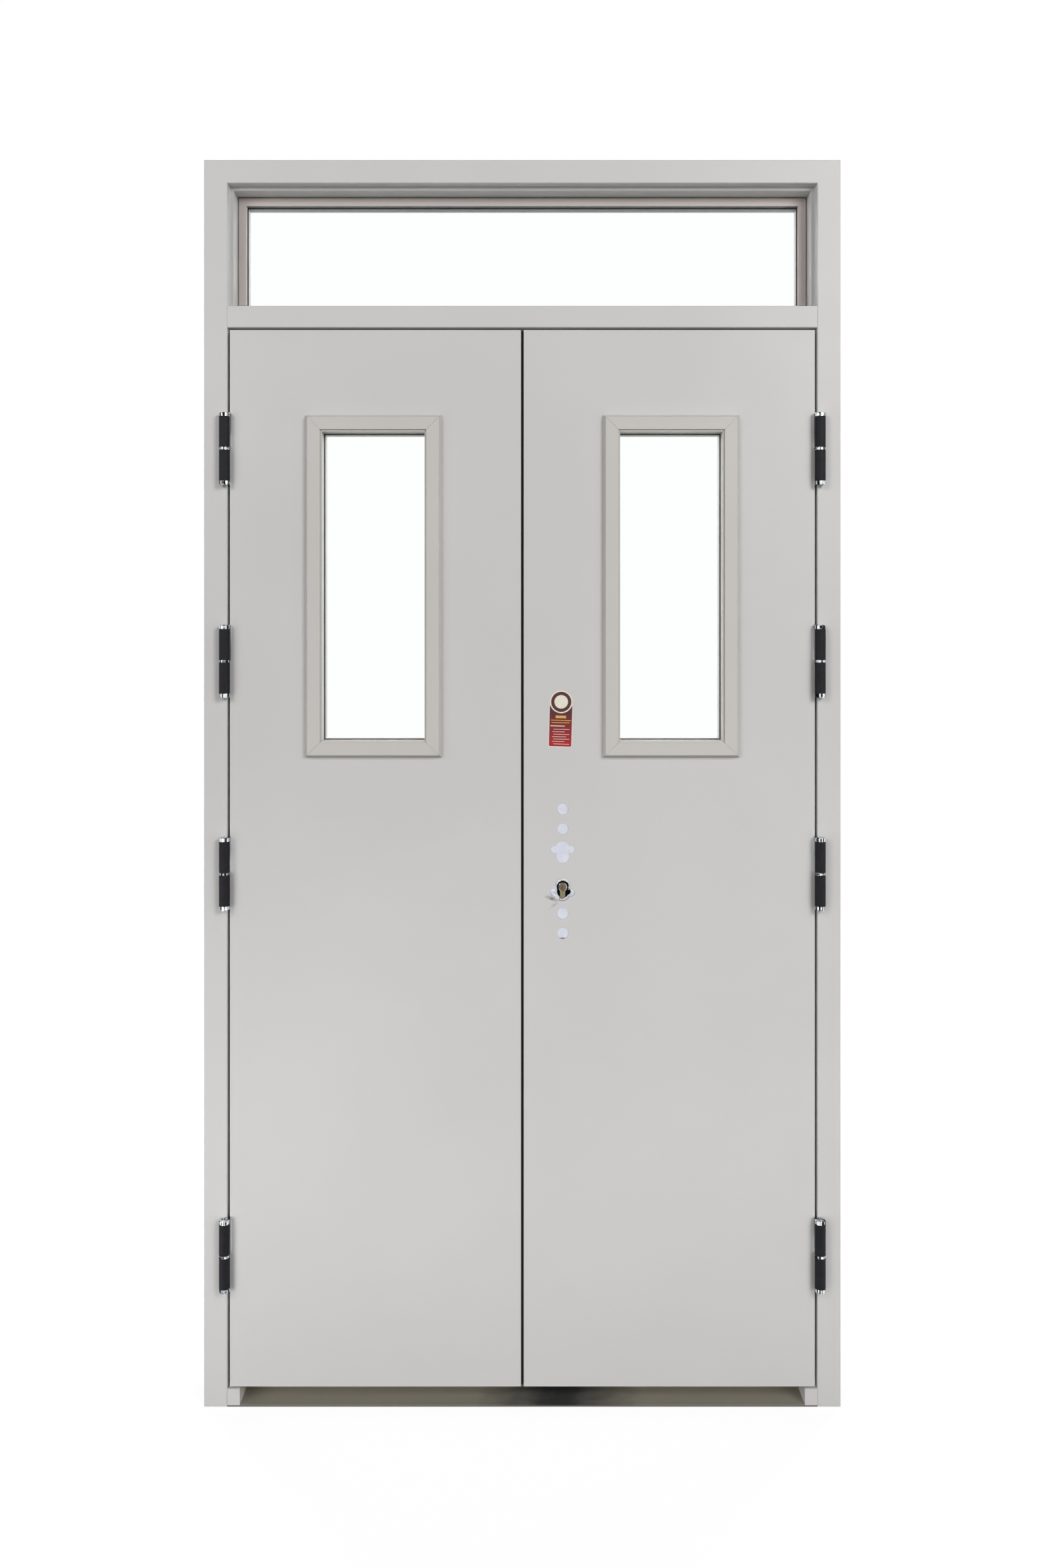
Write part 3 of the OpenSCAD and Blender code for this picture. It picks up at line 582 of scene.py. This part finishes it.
def slit_lip(z):
    """Narrow rest of film left along the lower edge of the slit."""
    corners = []
    for k in range(25):
        angle = math.radians(240 + 60 * k / 24)
        for radius, depth in ((FIXING_R - 0.05 * MM, 0.9), (FIXING_R - 0.9 * MM, 0.3)):
            corners.append((lock_x + radius * math.cos(angle), face_y + depth * MM,
                            z + radius * math.sin(angle)))
    faces = [(2 * k, 2 * k + 2, 2 * k + 3, 2 * k + 1) for k in range(24)]
    return mesh_from("slit_lip", corners, faces)


add_piece("slit_lip", slit_lip(min(FIXING_Z)), film_white, lock_body)
print("film over", len(FIXING_Z), "fixing holes and the clover openings")

# %% [markdown]
# Round the cylinder the film is torn, and its free edge has rolled outward. It is drawn from
# the opening's edge inward, as a flat part, a lip that lifts off the leaf, and a roll that turns
# back over it. A noise makes the tear ragged. The ears of the opening stay covered.

# %% Torn film round the cylinder
TORN_STEPS = 300
TEAR = [(0, 15.2), (9, 15.4), (24, 15.2), (43, 15.0), (53, 19.1), (61, 21.4), (79, 22.8),
        (94, 23.1), (106, 22.1), (122, 19.4), (142, 14.7), (162, 11.6), (183, 10.3), (215, 9.6),
        (238, 10.4), (261, 12.2), (286, 10.7), (320, 10.2), (341, 10.7), (349, 13.8), (360, 15.2)]
TENTS = [(152, 34, 18.5, 4.2), (224, 26, 17.0, 2.6)]


def tear_radius(turn):
    """Radius of the torn edge in millimetres, read off the list with a smooth step."""
    for (a0, r0), (a1, r1) in zip(TEAR, TEAR[1:]):
        if a0 <= turn <= a1:
            t = (turn - a0) / (a1 - a0)
            return r0 + (r1 - r0) * t * t * (3 - 2 * t)


def torn_film(x, z):
    """Film with a torn hole; on the left it stands off the leaf like a tent."""
    corners, rings = [], 12
    for k in range(TORN_STEPS):
        turn = 360 * k / TORN_STEPS
        angle = math.radians(turn)
        out = Vector((math.cos(angle), 0, math.sin(angle)))
        rough = noise.fractal(Vector((out.x * 5, out.z * 5, 5.0)), 0.6, 2.1, 5)
        edge = reach(CLOVER_DOWN, angle) / MM - 0.05
        tear = min(tear_radius(turn) + 0.6 * rough, edge - 1.2)
        curl = 2.4 + 1.2 * noise.noise(Vector((out.x * 3, out.z * 3, 9.0)))
        curl += 1.6 * max(0.0, out.z) ** 3
        lift = 1.1 + 0.5 * noise.noise(Vector((out.x * 2, out.z * 2, 3.0)))
        tent, far, high = 0.0, edge, 0.0
        for middle, half, reaches, height in TENTS:
            if abs(turn - middle) < half:
                tent = math.cos(math.pi / 2 * (turn - middle) / half) ** 0.8
                far, high = max(reaches, edge), height
        flat = [(edge, 2.4), (edge - 0.8, 0.8), (edge * 0.7 + tear * 0.3, 0.6),
                (edge * 0.4 + tear * 0.6, 0.3), (tear + 0.9, -0.1 * lift),
                (tear + 0.3, -0.8 * lift), (tear, -1.4 * lift),
                (tear + 0.1, -1.9 * lift), (tear + curl * 0.3, -2.4 * lift),
                (tear + curl * 0.6, -2.5 * lift), (tear + curl * 0.9, -2.2 * lift),
                (tear + curl, -1.8 * lift)]
        slope = [(far, -0.05), (far * 0.8 + tear * 0.2, -0.22 * high),
                 (far * 0.6 + tear * 0.4, -0.45 * high), (far * 0.4 + tear * 0.6, -0.72 * high),
                 (far * 0.2 + tear * 0.8, -0.93 * high), (tear + 1.4, -high),
                 (tear + 0.7, -high - 0.25), (tear + 0.2, -high - 0.1), (tear - 0.1, -high + 0.3),
                 (tear - 0.2, -high + 0.7), (tear - 0.1, -high + 1.1), (tear, -high + 1.5)]
        for (r0, d0), (r1, d1) in zip(flat, slope):
            radius, dip = r0 + (r1 - r0) * tent, d0 + (d1 - d0) * tent
            corners.append(Vector((x, face_y + dip * MM, z)) + out * radius * MM)
    faces = []
    for k in range(TORN_STEPS):
        a, b = k * rings, ((k + 1) % TORN_STEPS) * rings
        faces += [(a + r, a + r + 1, b + r + 1, b + r) for r in range(rings - 1)]
    return mesh_from("torn_film", corners, faces)


def crumb_mesh(n, x, z, size):
    """A scrap of film: six uneven points round a low peak."""
    rim = []
    for k in range(6):
        wide = size * (1 + 0.5 * noise.noise(Vector((k, n, 0))))
        tall = size * (0.7 + 0.4 * noise.noise(Vector((k, n, 4))))
        rim.append((x + math.cos(k) * wide, face_y - 0.12 * MM, z + math.sin(k) * tall))
    peak = (x - size * 0.3, face_y - 0.8 * MM, z + size * 0.2)
    return mesh_from(f"film_crumb_{n}", rim + [peak], [(k, (k + 1) % 6, 6) for k in range(6)])


torn = add_piece("torn_film", torn_film(lock_x, CYLINDER_HOLE_Z), film_white, lock_body)
CRUMBS = [(-10.0, -17.0, 1.2), (-7.0, -18.5, 1.7), (-4.0, -17.8, 1.0), (-11.5, -20.0, 0.8)]
for n, (px, pz, size) in enumerate(CRUMBS):
    crumb = crumb_mesh(n, lock_x + px * MM, CYLINDER_HOLE_Z + pz * MM, size * MM)
    add_piece(crumb.name, crumb, film_white, lock_body)
print("torn film has", len(torn.data.polygons), "faces")

# %% [markdown]
# The cylinder's end shows its round plug, a hair proud of the barrel, with a crooked keyway. The
# plug is a turned ring profile, and the keyway is a dark outline laid in it: the slot's shade,
# painted in the dark core board finish.

# %% Cylinder plug and keyway
PLUG_R = 7.7
PLUG_PROFILE = [(0.0, 0.25), (PLUG_R - 0.5, 0.25), (PLUG_R, 0.0), (PLUG_R, -1.0)]
RIM_PROFILE = [(PLUG_R + 0.05, -0.4), (PLUG_R + 0.1, 0.22), (PLUG_R + 0.4, 0.34),
               (PLUG_R + 0.7, 0.02)]
KEYWAY = [(-0.6, 2.4), (0.8, 2.4), (0.8, 1.2), (0.2, 0.6), (0.2, -0.5), (0.9, -1.0),
          (0.9, -3.4), (-0.5, -3.4), (-0.5, -2.2), (-1.0, -1.6), (-1.0, 0.4), (-0.6, 0.9)]


def turned_mesh(name, y, facing, profile, steps):
    """A profile in millimetres, turned about the cylinder's barrel."""
    corners, faces = lathe([(r * MM, h * MM) for r, h in profile], steps)
    placed = [(lock_x + cx, y + facing * cz, barrel_z + cy) for cx, cy, cz in corners]
    return mesh_from(name, placed, faces)


def keyway_mesh(name, y, facing):
    outline = [(lock_x + px * MM, y + facing * 0.28 * MM, barrel_z + pz * MM) for px, pz in KEYWAY]
    return mesh_from(name, outline, [tuple(range(len(outline)))], smooth=False)


for end, y, facing in (("front", cylinder_low[1], -1), ("rear", cylinder_high[1], 1)):
    plug = turned_mesh(f"{end}_plug", y, facing, PLUG_PROFILE, 40)
    add_piece(plug.name, plug, plug_brown, lock_body)
    barrel_rim = turned_mesh(f"{end}_barrel_rim", y, facing, RIM_PROFILE, 56)
    add_piece(barrel_rim.name, barrel_rim, painted_reflection_chrome, lock_body)
    # The keyway's dark is painted shade in the board finish.
    add_piece(f"{end}_keyway", keyway_mesh(f"{end}_keyway", y, facing), board_painted_dark, lock_body)
print("plug and keyway at both ends of the cylinder")


# %% [markdown]
# Black gaskets hold the glass on both faces and show as a thin dark line round each pane. A
# gasket is one profile carried round a rectangle with mitred corners, so it takes one function:
# each point of the profile is a distance outward from the pane's clear edge and a depth.

# %% Glazing gaskets
def swept_frame(name, centre_x, centre_z, half_w, half_h, profile):
    n = len(profile)
    corners = [(centre_x + sx * (half_w + out), y, centre_z + sz * (half_h + out))
               for sx, sz in ((-1, -1), (1, -1), (1, 1), (-1, 1)) for out, y in profile]
    faces = [(i * n + k, i * n + (k + 1) % n, ((i + 1) % 4) * n + (k + 1) % n,
              ((i + 1) % 4) * n + k) for i in range(4) for k in range(n)]
    return mesh_from(name, corners, faces, smooth=False)


def gasket_profile(y, facing, inner, outer, thick):
    """A half-round bead that bulges toward the viewer from the glass face at y."""
    points = [(-inner, y)]
    for k in range(1, 6):
        angle = math.pi / 2 * k / 5
        points.append((-inner * math.cos(angle), y + facing * thick * math.sin(angle)))
    return points + [(outer, y + facing * thick), (outer, y)]


GASKET_IN, GASKET_T = 2.0 * MM, 2.6 * MM
for side in SIDES:
    glass_low, glass_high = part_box(f"{side}_glass")
    rim = 4 * MM
    middle_x, middle_z = (glass_low[0] + glass_high[0]) / 2, (glass_low[2] + glass_high[2]) / 2
    half_w = (glass_high[0] - glass_low[0]) / 2 - rim
    half_h = (glass_high[2] - glass_low[2]) / 2 - rim
    for end, y, facing in (("front", glass_low[1], -1), ("rear", glass_high[1], 1)):
        profile = gasket_profile(y + facing * 0.05 * MM, facing, GASKET_IN, -0.1 * MM, GASKET_T)
        mesh = swept_frame(f"{side}_{end}_gasket", middle_x, middle_z, half_w, half_h, profile)
        add_piece(mesh.name, mesh, rubber_and_shade, f"{side}_leaf")
light_low, light_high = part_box("transom_glass")
beads_low, beads_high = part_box("transom_beads")
sight_half_w = beads_high[0] - 15 * MM
sight_low, sight_high = beads_low[2] + 13 * MM, beads_high[2] - 15 * MM
for end, y, facing in (("front", light_low[1], -1), ("rear", light_high[1], 1)):
    profile = gasket_profile(y + facing * 0.05 * MM, facing, 1.4 * MM, -0.1 * MM, 2.0 * MM)
    mesh = swept_frame(f"transom_{end}_gasket", 0, (sight_low + sight_high) / 2, sight_half_w,
                       (sight_high - sight_low) / 2, profile)
    add_piece(mesh.name, mesh, rubber_and_shade, "frame")
print("gaskets on both faces of all three panes")

# %% [markdown]
# A dark strip lines the upper reveal of each opening, in front of the glass and behind it, wider
# than the gaskets: it is painted shade, for the shadow under the top of the reveal. In the leaves
# it is nearly black; over the transom it is a paler grey. Each strip is a thin box with eased
# edges.

# %% Painted shade strips over the glass
STRIP_T = 0.5 * MM
for side in SIDES:
    glass_low, glass_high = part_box(f"{side}_glass")
    trim_low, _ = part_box(f"{side}_front_trim")
    _, back_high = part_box(f"{side}_rear_trim")
    left, right = glass_low[0] + rim + 0.3 * MM, glass_high[0] - rim - 0.3 * MM
    top = glass_high[2] - rim
    strips = [((left, trim_low[1] + 4.6 * MM, top - STRIP_T),
               (right, glass_low[1] - GASKET_T - 0.2 * MM, top - 0.02 * MM)),
              ((left, glass_high[1] + GASKET_T + 0.2 * MM, top - STRIP_T),
               (right, back_high[1] - 4.6 * MM, top - 0.02 * MM))]
    # Painted shade: dark strips under the top of each leaf's glass opening.
    add_piece(f"{side}_top_shade_strips", mesh_of_boxes(f"{side}_top_shade_strips", strips, 0.1 * MM), rubber_and_shade,
              f"{side}_leaf")
head_low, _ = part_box("frame_head")
span_x = sight_half_w - 0.3 * MM
strips = [((-span_x, beads_low[1] + 0.6 * MM, sight_high - STRIP_T),
           (span_x, light_low[1] - 2.4 * MM, sight_high - 0.02 * MM)),
          ((-span_x, light_high[1] + 2.6 * MM, head_low[2] - STRIP_T),
           (span_x, rear_y - 1.2 * MM, head_low[2] - 0.02 * MM))]
# Painted shade: a grey strip under the top of the transom's opening.
add_piece("transom_top_shade_strips", mesh_of_boxes("transom_top_shade_strips", strips, 0.1 * MM),
          shaded_strip, "frame")
print("strips over three panes; transom sight top", round(sight_high, 4), "head low",
      round(head_low[2], 4))

# %% [markdown]
# Between the leaves, a black brush seal runs down each meeting edge. The two brushes stand one
# behind the other and reach just past the middle, which is why no light shows through the gap. A
# brush is a thin strip whose tip line wanders a little, under a material with stretched noise.

# %% Brush seals on the meeting edges
BRUSH_ROWS = 420
MEET_HALF, MEET_BEVEL = 2.7 * MM, 3.5 * MM


def brush_mesh(name, sign, front, thick, past):
    low_z, high_z = leaf_low[2] + 1 * MM, leaf_high[2] - 1 * MM
    corners = []
    for row in range(BRUSH_ROWS + 1):
        z = low_z + (high_z - low_z) * row / BRUSH_ROWS
        wander = 0.22 * MM * noise.noise(Vector((z * 90, front * 900, 0)))
        root = MEET_HALF + MEET_BEVEL * (front + thick) / LEAF_T
        tip = -past + wander
        for depth, x in ((0.0, root), (0.12, tip + 0.25 * MM), (0.5, tip), (0.88, tip + 0.25 * MM),
                         (1.0, root)):
            corners.append((sign * x, face_y + front + thick * depth, z))
    faces = [(r * 5 + k, r * 5 + k + 1, r * 5 + k + 6, r * 5 + k + 5)
             for r in range(BRUSH_ROWS) for k in range(4)]
    return mesh_from(name, corners, faces)


for side, front in (("left", 4.0 * MM), ("right", 7.4 * MM)):
    mesh = brush_mesh(f"{side}_brush_seal", SIDES[side], front, 2.6 * MM, 0.7 * MM)
    add_piece(mesh.name, mesh, pile, f"{side}_leaf")
print("brush seals", round(leaf_high[2] - leaf_low[2], 3), "m long")

# %% [markdown]
# Screws hold the plates that show when a leaf stands open. A screw head is a shallow disc drawn
# in rings and spokes, and the rings that fall inside a cross sink, which gives a cross recess
# without cutting anything. Each head sits in its plate and stands a hair above it.

# %% Screw heads
SCREW_RINGS, SCREW_SPOKES = 9, 48
RECESS_HALF_W, RECESS_REACH = 0.16, 0.62


def screw_head(name, centre, facing, radius):
    """Countersunk head that faces +X or -X, as facing says."""
    corners = [(centre[0] - facing * 0.9 * MM, centre[1], centre[2])]
    for ring in range(1, SCREW_RINGS + 1):
        t = ring / SCREW_RINGS
        for k in range(SCREW_SPOKES):
            a = math.tau * k / SCREW_SPOKES
            py, pz = t * math.cos(a), t * math.sin(a)
            near, far = sorted((abs(py), abs(pz)))
            sunk = near < RECESS_HALF_W and far < RECESS_REACH
            height = -0.9 if sunk else 0.22 * (1 - t ** 4) - (0.12 if ring == SCREW_RINGS else 0)
            corners.append((centre[0] + facing * height * MM, centre[1] + py * radius,
                            centre[2] + pz * radius))
    return mesh_from(name, corners, disc_faces(SCREW_RINGS, SCREW_SPOKES), smooth=False)


def joined(name, meshes):
    bm = bmesh.new()
    for mesh in meshes:
        bm.from_mesh(mesh)
        bpy.data.meshes.remove(mesh)
    whole = bpy.data.meshes.new(name)
    bm.to_mesh(whole)
    bm.free()
    return whole


lip_x = leaf_high[0]
screw_y = face_y + 8 * MM
for side, sign in SIDES.items():
    fixed, moving = [], []
    for n in HINGES:
        fixed_low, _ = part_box(f"{side}_hinge_{n}_frame_half")
        _, moving_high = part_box(f"{side}_hinge_{n}_leaf_half")
        for rise in (12 * MM, 34 * MM, 56 * MM):
            fixed.append(screw_head("head", (sign * rebate_x, screw_y, fixed_low[2] + rise),
                                    -sign, 3.6 * MM))
            moving.append(screw_head("head", (sign * lip_x, screw_y, moving_high[2] - rise),
                                     sign, 3.6 * MM))
    add_piece(f"{side}_jamb_hinge_screws", joined(f"{side}_jamb_hinge_screws", fixed), zinc,
              "frame")
    add_piece(f"{side}_leaf_hinge_screws", joined(f"{side}_leaf_hinge_screws", moving), zinc,
              f"{side}_leaf")

edge_y = face_y + LEAF_T / 2
edge_x = MEET_HALF + MEET_BEVEL / 2
lock_plate_z = (SPINDLE_Z + CYLINDER_HOLE_Z) / 2
bolts_low, bolts_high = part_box("left_flush_bolts")
plate_spots = [bolts_low[2] + 50 * MM, bolts_low[2] + 210 * MM,
               bolts_high[2] - 210 * MM, bolts_high[2] - 50 * MM]
lock_spots = [lock_plate_z - 108 * MM, lock_plate_z + 108 * MM]
strike_heads = [screw_head("head", (-edge_x, edge_y, z), 1, 3.4 * MM)
                for z in plate_spots + lock_spots]
add_piece("strike_and_bolt_screws", joined("strike_and_bolt_screws", strike_heads), zinc,
          "left_leaf")
lock_heads = [screw_head("head", (edge_x, edge_y, z), -1, 3.4 * MM) for z in lock_spots]
add_piece("lock_plate_screws", joined("lock_plate_screws", lock_heads), zinc, "right_leaf")
print("screw heads:", 12 * len(SIDES) * 2 + len(strike_heads) + len(lock_heads))

# %% [markdown]
# In each flush bolt's recess lies the lever that throws its rod. It is a slim bar with rounded
# edges and a finger notch at its free end, resting below the plate so that nothing catches.

# %% Flush bolt levers
lever_boxes = []
for mid in (bolts_low[2] + 130 * MM, bolts_high[2] - 130 * MM):
    near = -edge_x - 1.2 * MM
    lever_boxes.append(((near - 3.2 * MM, edge_y - 3.6 * MM, mid - 27 * MM),
                        (near, edge_y + 3.6 * MM, mid + 13 * MM)))
    lever_boxes.append(((near - 6.5 * MM, edge_y - 3.0 * MM, mid - 27 * MM),
                        (near - 2.0 * MM, edge_y + 3.0 * MM, mid - 20 * MM)))
levers = mesh_of_boxes("flush_bolt_levers", lever_boxes, 0.6 * MM)
add_piece("flush_bolt_levers", levers, stainless, "left_leaf")
print("levers:", len(lever_boxes) // 2)

# %% [markdown]
# The tread has a socket for the lower flush bolt. A spring-loaded plug closes it level with the
# plate, so that no dirt falls in and nothing dark shows there while the bolt is drawn back.

# %% Dust plug in the tread's socket
ROD_SPOT = (-16.7 * MM, face_y + 30 * MM)
PLUG_RINGS = [(5.3 * MM, 1.1 * MM), (5.3 * MM, 2.8 * MM), (5.1 * MM, 2.95 * MM)]
PLUG_STEPS = 48
corners, faces = lathe(PLUG_RINGS, PLUG_STEPS)
corners = [(x + ROD_SPOT[0], y + ROD_SPOT[1], z) for x, y, z in corners]
faces.append(tuple(3 * k + 2 for k in range(PLUG_STEPS)))
faces.append(tuple(3 * k for k in reversed(range(PLUG_STEPS))))
dust_plug = mesh_from("dust_plug", corners, faces, smooth=False)
add_piece("dust_plug", dust_plug, stainless, "frame")
print(f"dust plug at x {ROD_SPOT[0]:.4f}, y {ROD_SPOT[1]:.4f}")

# %% [markdown]
# A small printed seal hangs above the lock: a round head on a strip, stuck on a little askew. It
# stays plain here, with its colours and no words. It is built as thin layers of paper, each a
# flat outline with a hair of thickness, and the red fades from dark to bright down the strip.

# %% Plain paper seal
LABEL_X, LABEL_Z, LABEL_TILT = 74.9 * MM, 1.3565, math.radians(1.6)
HEAD_R, BODY_HALF_W, BODY_LOW, CORNER_R = 21.8 * MM, 22.8 * MM, -87 * MM, 4 * MM


def strip_outline(half_w, low, high, radius):
    """Strip with two rounded lower corners, as (x, z) points."""
    points = []
    for cx, start in ((half_w - radius, 270), (-half_w + radius, 180)):
        arc = [math.radians(start + 90 * k / 8) for k in range(9)]
        spots = [(cx + radius * math.cos(a), low + radius + radius * math.sin(a)) for a in arc]
        points += spots[::-1]
    return [(half_w, high)] + points + [(-half_w, high)]


def circle_outline(radius, steps=72):
    return [(radius * math.cos(math.tau * k / steps), radius * math.sin(math.tau * k / steps))
            for k in range(steps)]


def paper_layer(name, outline, material, lift):
    turn = Matrix.Rotation(LABEL_TILT, 4, "Y")
    flat = [turn @ Vector((px, 0, pz)) for px, pz in outline]
    n = len(flat)
    corners = [v + Vector((0, -lift, 0)) for v in flat] + [v.copy() for v in flat]
    faces = [tuple(range(n))] + [(k, (k + 1) % n, n + (k + 1) % n, n + k) for k in range(n)]
    mesh = mesh_from(name, corners, faces, smooth=False)
    obj = add_piece(name, mesh, material, "right_leaf")
    obj.location = (LABEL_X, face_y, LABEL_Z)
    return obj


cream = dull("label_paper", linear(226, 221, 204), linear(236, 232, 218), 0.45, 200.0, 0.00002)
label_red, tree, shader = new_material("label_print", linear(110, 24, 30), 0.35)
height = place_axes(tree)["Z"]
vary(tree, height, shader.inputs["Base Color"], linear(168, 22, 32),
     linear(72, 12, 20), 0.0, 1.0)
ramp = next(n for n in tree.nodes if n.type == "VALTORGB")
span = tree.nodes.new("ShaderNodeMapRange")
span.inputs["From Min"].default_value = BODY_LOW
span.inputs["From Max"].default_value = -HEAD_R
tree.links.new(height, span.inputs["Value"])
tree.links.new(span.outputs["Result"], ramp.inputs["Fac"])
EDGE = 1.2 * MM
paper_layer("label_strip", strip_outline(BODY_HALF_W, BODY_LOW, -8 * MM, CORNER_R), cream,
            0.10 * MM)
paper_layer("label_strip_print", strip_outline(BODY_HALF_W - EDGE, BODY_LOW + EDGE, -8 * MM,
                                               CORNER_R - EDGE), label_red, 0.14 * MM)
paper_layer("label_head", circle_outline(HEAD_R), cream, 0.20 * MM)
paper_layer("label_head_print", circle_outline(HEAD_R - 2.4 * MM), label_red, 0.24 * MM)
paper_layer("label_head_middle", circle_outline(HEAD_R * 0.60), cream, 0.28 * MM)
gold = dull("label_gold", linear(206, 158, 74), linear(222, 178, 92), 0.4, 200.0, 0.00001)
rules = [(-29.0, -10.0, 10.0, 5.0, gold), (-35.5, -19.0, 19.5, 1.3, gold),
         (-40.0, -17.5, 17.0, 1.3, gold), (-46.5, -19.5, 8.0, 1.6, cream)]
rules += [(-53.0 - 4.7 * k, -15.5 if k % 2 else -13.5, (17.5, 8.0, 17.0, 11.0)[k % 4], 0.8, cream)
          for k in range(7)]
for k, (pz, left, right, tall, ink) in enumerate(rules):
    bar = [(left, pz - tall / 2), (right, pz - tall / 2), (right, pz + tall / 2),
           (left, pz + tall / 2)]
    paper_layer(f"label_rule_{k}", [(px * MM, z * MM) for px, z in bar], ink, 0.17 * MM)
print("plain seal in five layers of paper and print, with", len(rules), "plain rules")

# %% [markdown]
# The floor and the world look white to the camera, to mirrors and through glass, and stay dim
# for everything else, so white paper-like surroundings do not wash out the recesses. Round the
# door the floor keeps a little of its own shading, which holds the soft shadow. Two high lamps
# stand for the room's light, low ones lift the foot of the leaves, side strips draw the hinges'
# shadows inward, and two light the rear.

# %% Floor, world and lamps
def white_rays(tree):
    """1 for the camera's rays, mirrors' rays and rays through glass, and 0 for all others."""
    path = tree.nodes.new("ShaderNodeLightPath")
    found = path.outputs["Is Camera Ray"]
    for kind in ("Is Transmission Ray", "Is Glossy Ray"):
        either = tree.nodes.new("ShaderNodeMath")
        either.operation = "MAXIMUM"
        tree.links.new(found, either.inputs[0])
        tree.links.new(path.outputs[kind], either.inputs[1])
        found = either.outputs[0]
    return found


def make_floor():
    half_w, near, far, level = 5.0, -5.0, 4.0, -0.5 * MM
    corners = [(-half_w, near, level), (half_w, near, level), (half_w, far, level),
               (-half_w, far, level)]
    mesh = mesh_from("floor", corners, [(0, 1, 2, 3)], smooth=False)
    floor = bpy.data.objects.new("floor", mesh)
    bpy.context.scene.collection.objects.link(floor)
    return floor


floor = make_floor()
material, tree, shader = new_material("floor", linear(90, 90, 90), 0.9)
shader.inputs["Specular IOR Level"].default_value = 0.1
glow = tree.nodes.new("ShaderNodeEmission")
glow.inputs["Strength"].default_value = 1.07
place = tree.nodes.new("ShaderNodeTexCoord")
away = tree.nodes.new("ShaderNodeVectorMath")
away.operation = "LENGTH"
fade = tree.nodes.new("ShaderNodeMapRange")
fade.inputs["From Min"].default_value = 0.6
fade.inputs["From Max"].default_value = 1.7
fade.inputs["To Min"].default_value = 0.84
fade.inputs["To Max"].default_value = 1.0
tree.links.new(place.outputs["Object"], away.inputs[0])
tree.links.new(away.outputs["Value"], fade.inputs["Value"])
mix = tree.nodes.new("ShaderNodeMixShader")
found = white_rays(tree)
share = tree.nodes.new("ShaderNodeMath")
share.operation = "MULTIPLY"
tree.links.new(found, share.inputs[0])
tint = tree.nodes.new("ShaderNodeMix")
tint.data_type = "RGBA"
tint.inputs["A"].default_value = linear(90, 90, 90)
tint.inputs["B"].default_value = linear(225, 225, 225)
tree.links.new(found, tint.inputs["Factor"])
tree.links.new(tint.outputs["Result"], shader.inputs["Base Color"])
tree.links.new(fade.outputs["Result"], share.inputs[1])
tree.links.new(share.outputs[0], mix.inputs["Fac"])
tree.links.new(shader.outputs["BSDF"], mix.inputs[1])
tree.links.new(glow.outputs["Emission"], mix.inputs[2])
tree.links.new(mix.outputs["Shader"], tree.nodes["Material Output"].inputs["Surface"])
floor.data.materials.append(material)

world = bpy.data.worlds.new("studio")
world.use_nodes = True
bpy.context.scene.world = world
tree = world.node_tree
background = tree.nodes["Background"]
background.inputs["Color"].default_value = (1, 1, 1, 1)
strength = tree.nodes.new("ShaderNodeMapRange")
strength.inputs["To Min"].default_value = 0.05
strength.inputs["To Max"].default_value = 1.0
tree.links.new(white_rays(tree), strength.inputs["Value"])
tree.links.new(strength.outputs["Result"], background.inputs["Strength"])


def soft_lamp(name, place, aim, size, watts, spread=180):
    data = bpy.data.lights.new(name, "AREA")
    data.shape = "RECTANGLE"
    data.size, data.size_y = size
    data.energy = watts
    data.spread = math.radians(spread)
    lamp = bpy.data.objects.new(name, data)
    lamp.location = place
    lamp.rotation_euler = (Vector(aim) - Vector(place)).to_track_quat("-Z", "Y").to_euler()
    bpy.context.scene.collection.objects.link(lamp)
    return lamp


REAR_WATTS = 95
HIGH = {"left": 58, "right": 100}
LOW = {"left": 2.4, "right": 1.5}
SIDE = {"left": 5, "right": 4}
for side, sign in SIDES.items():
    soft_lamp(f"{side}_high_softbox", (sign * 2.2, -3.4, 3.1), (0, 0, 1.5), (1.4, 1.4), HIGH[side])
    soft_lamp(f"{side}_low_softbox", (sign * 1.5, -1.7, 0.35), (sign * 0.3, 0, 0.25), (0.9, 0.4),
              LOW[side], spread=70)
    soft_lamp(f"{side}_side_softbox", (sign * 1.6, -1.1, 1.25), (sign * 0.3, 0, 1.25), (0.4, 2.3),
              SIDE[side])
    soft_lamp(f"rear_{side}_softbox", (sign * 2.4, 3.0, 2.4), (0, 0, 1.2), (1.6, 2.0),
              REAR_WATTS)
print("floor, world and lamps are in")
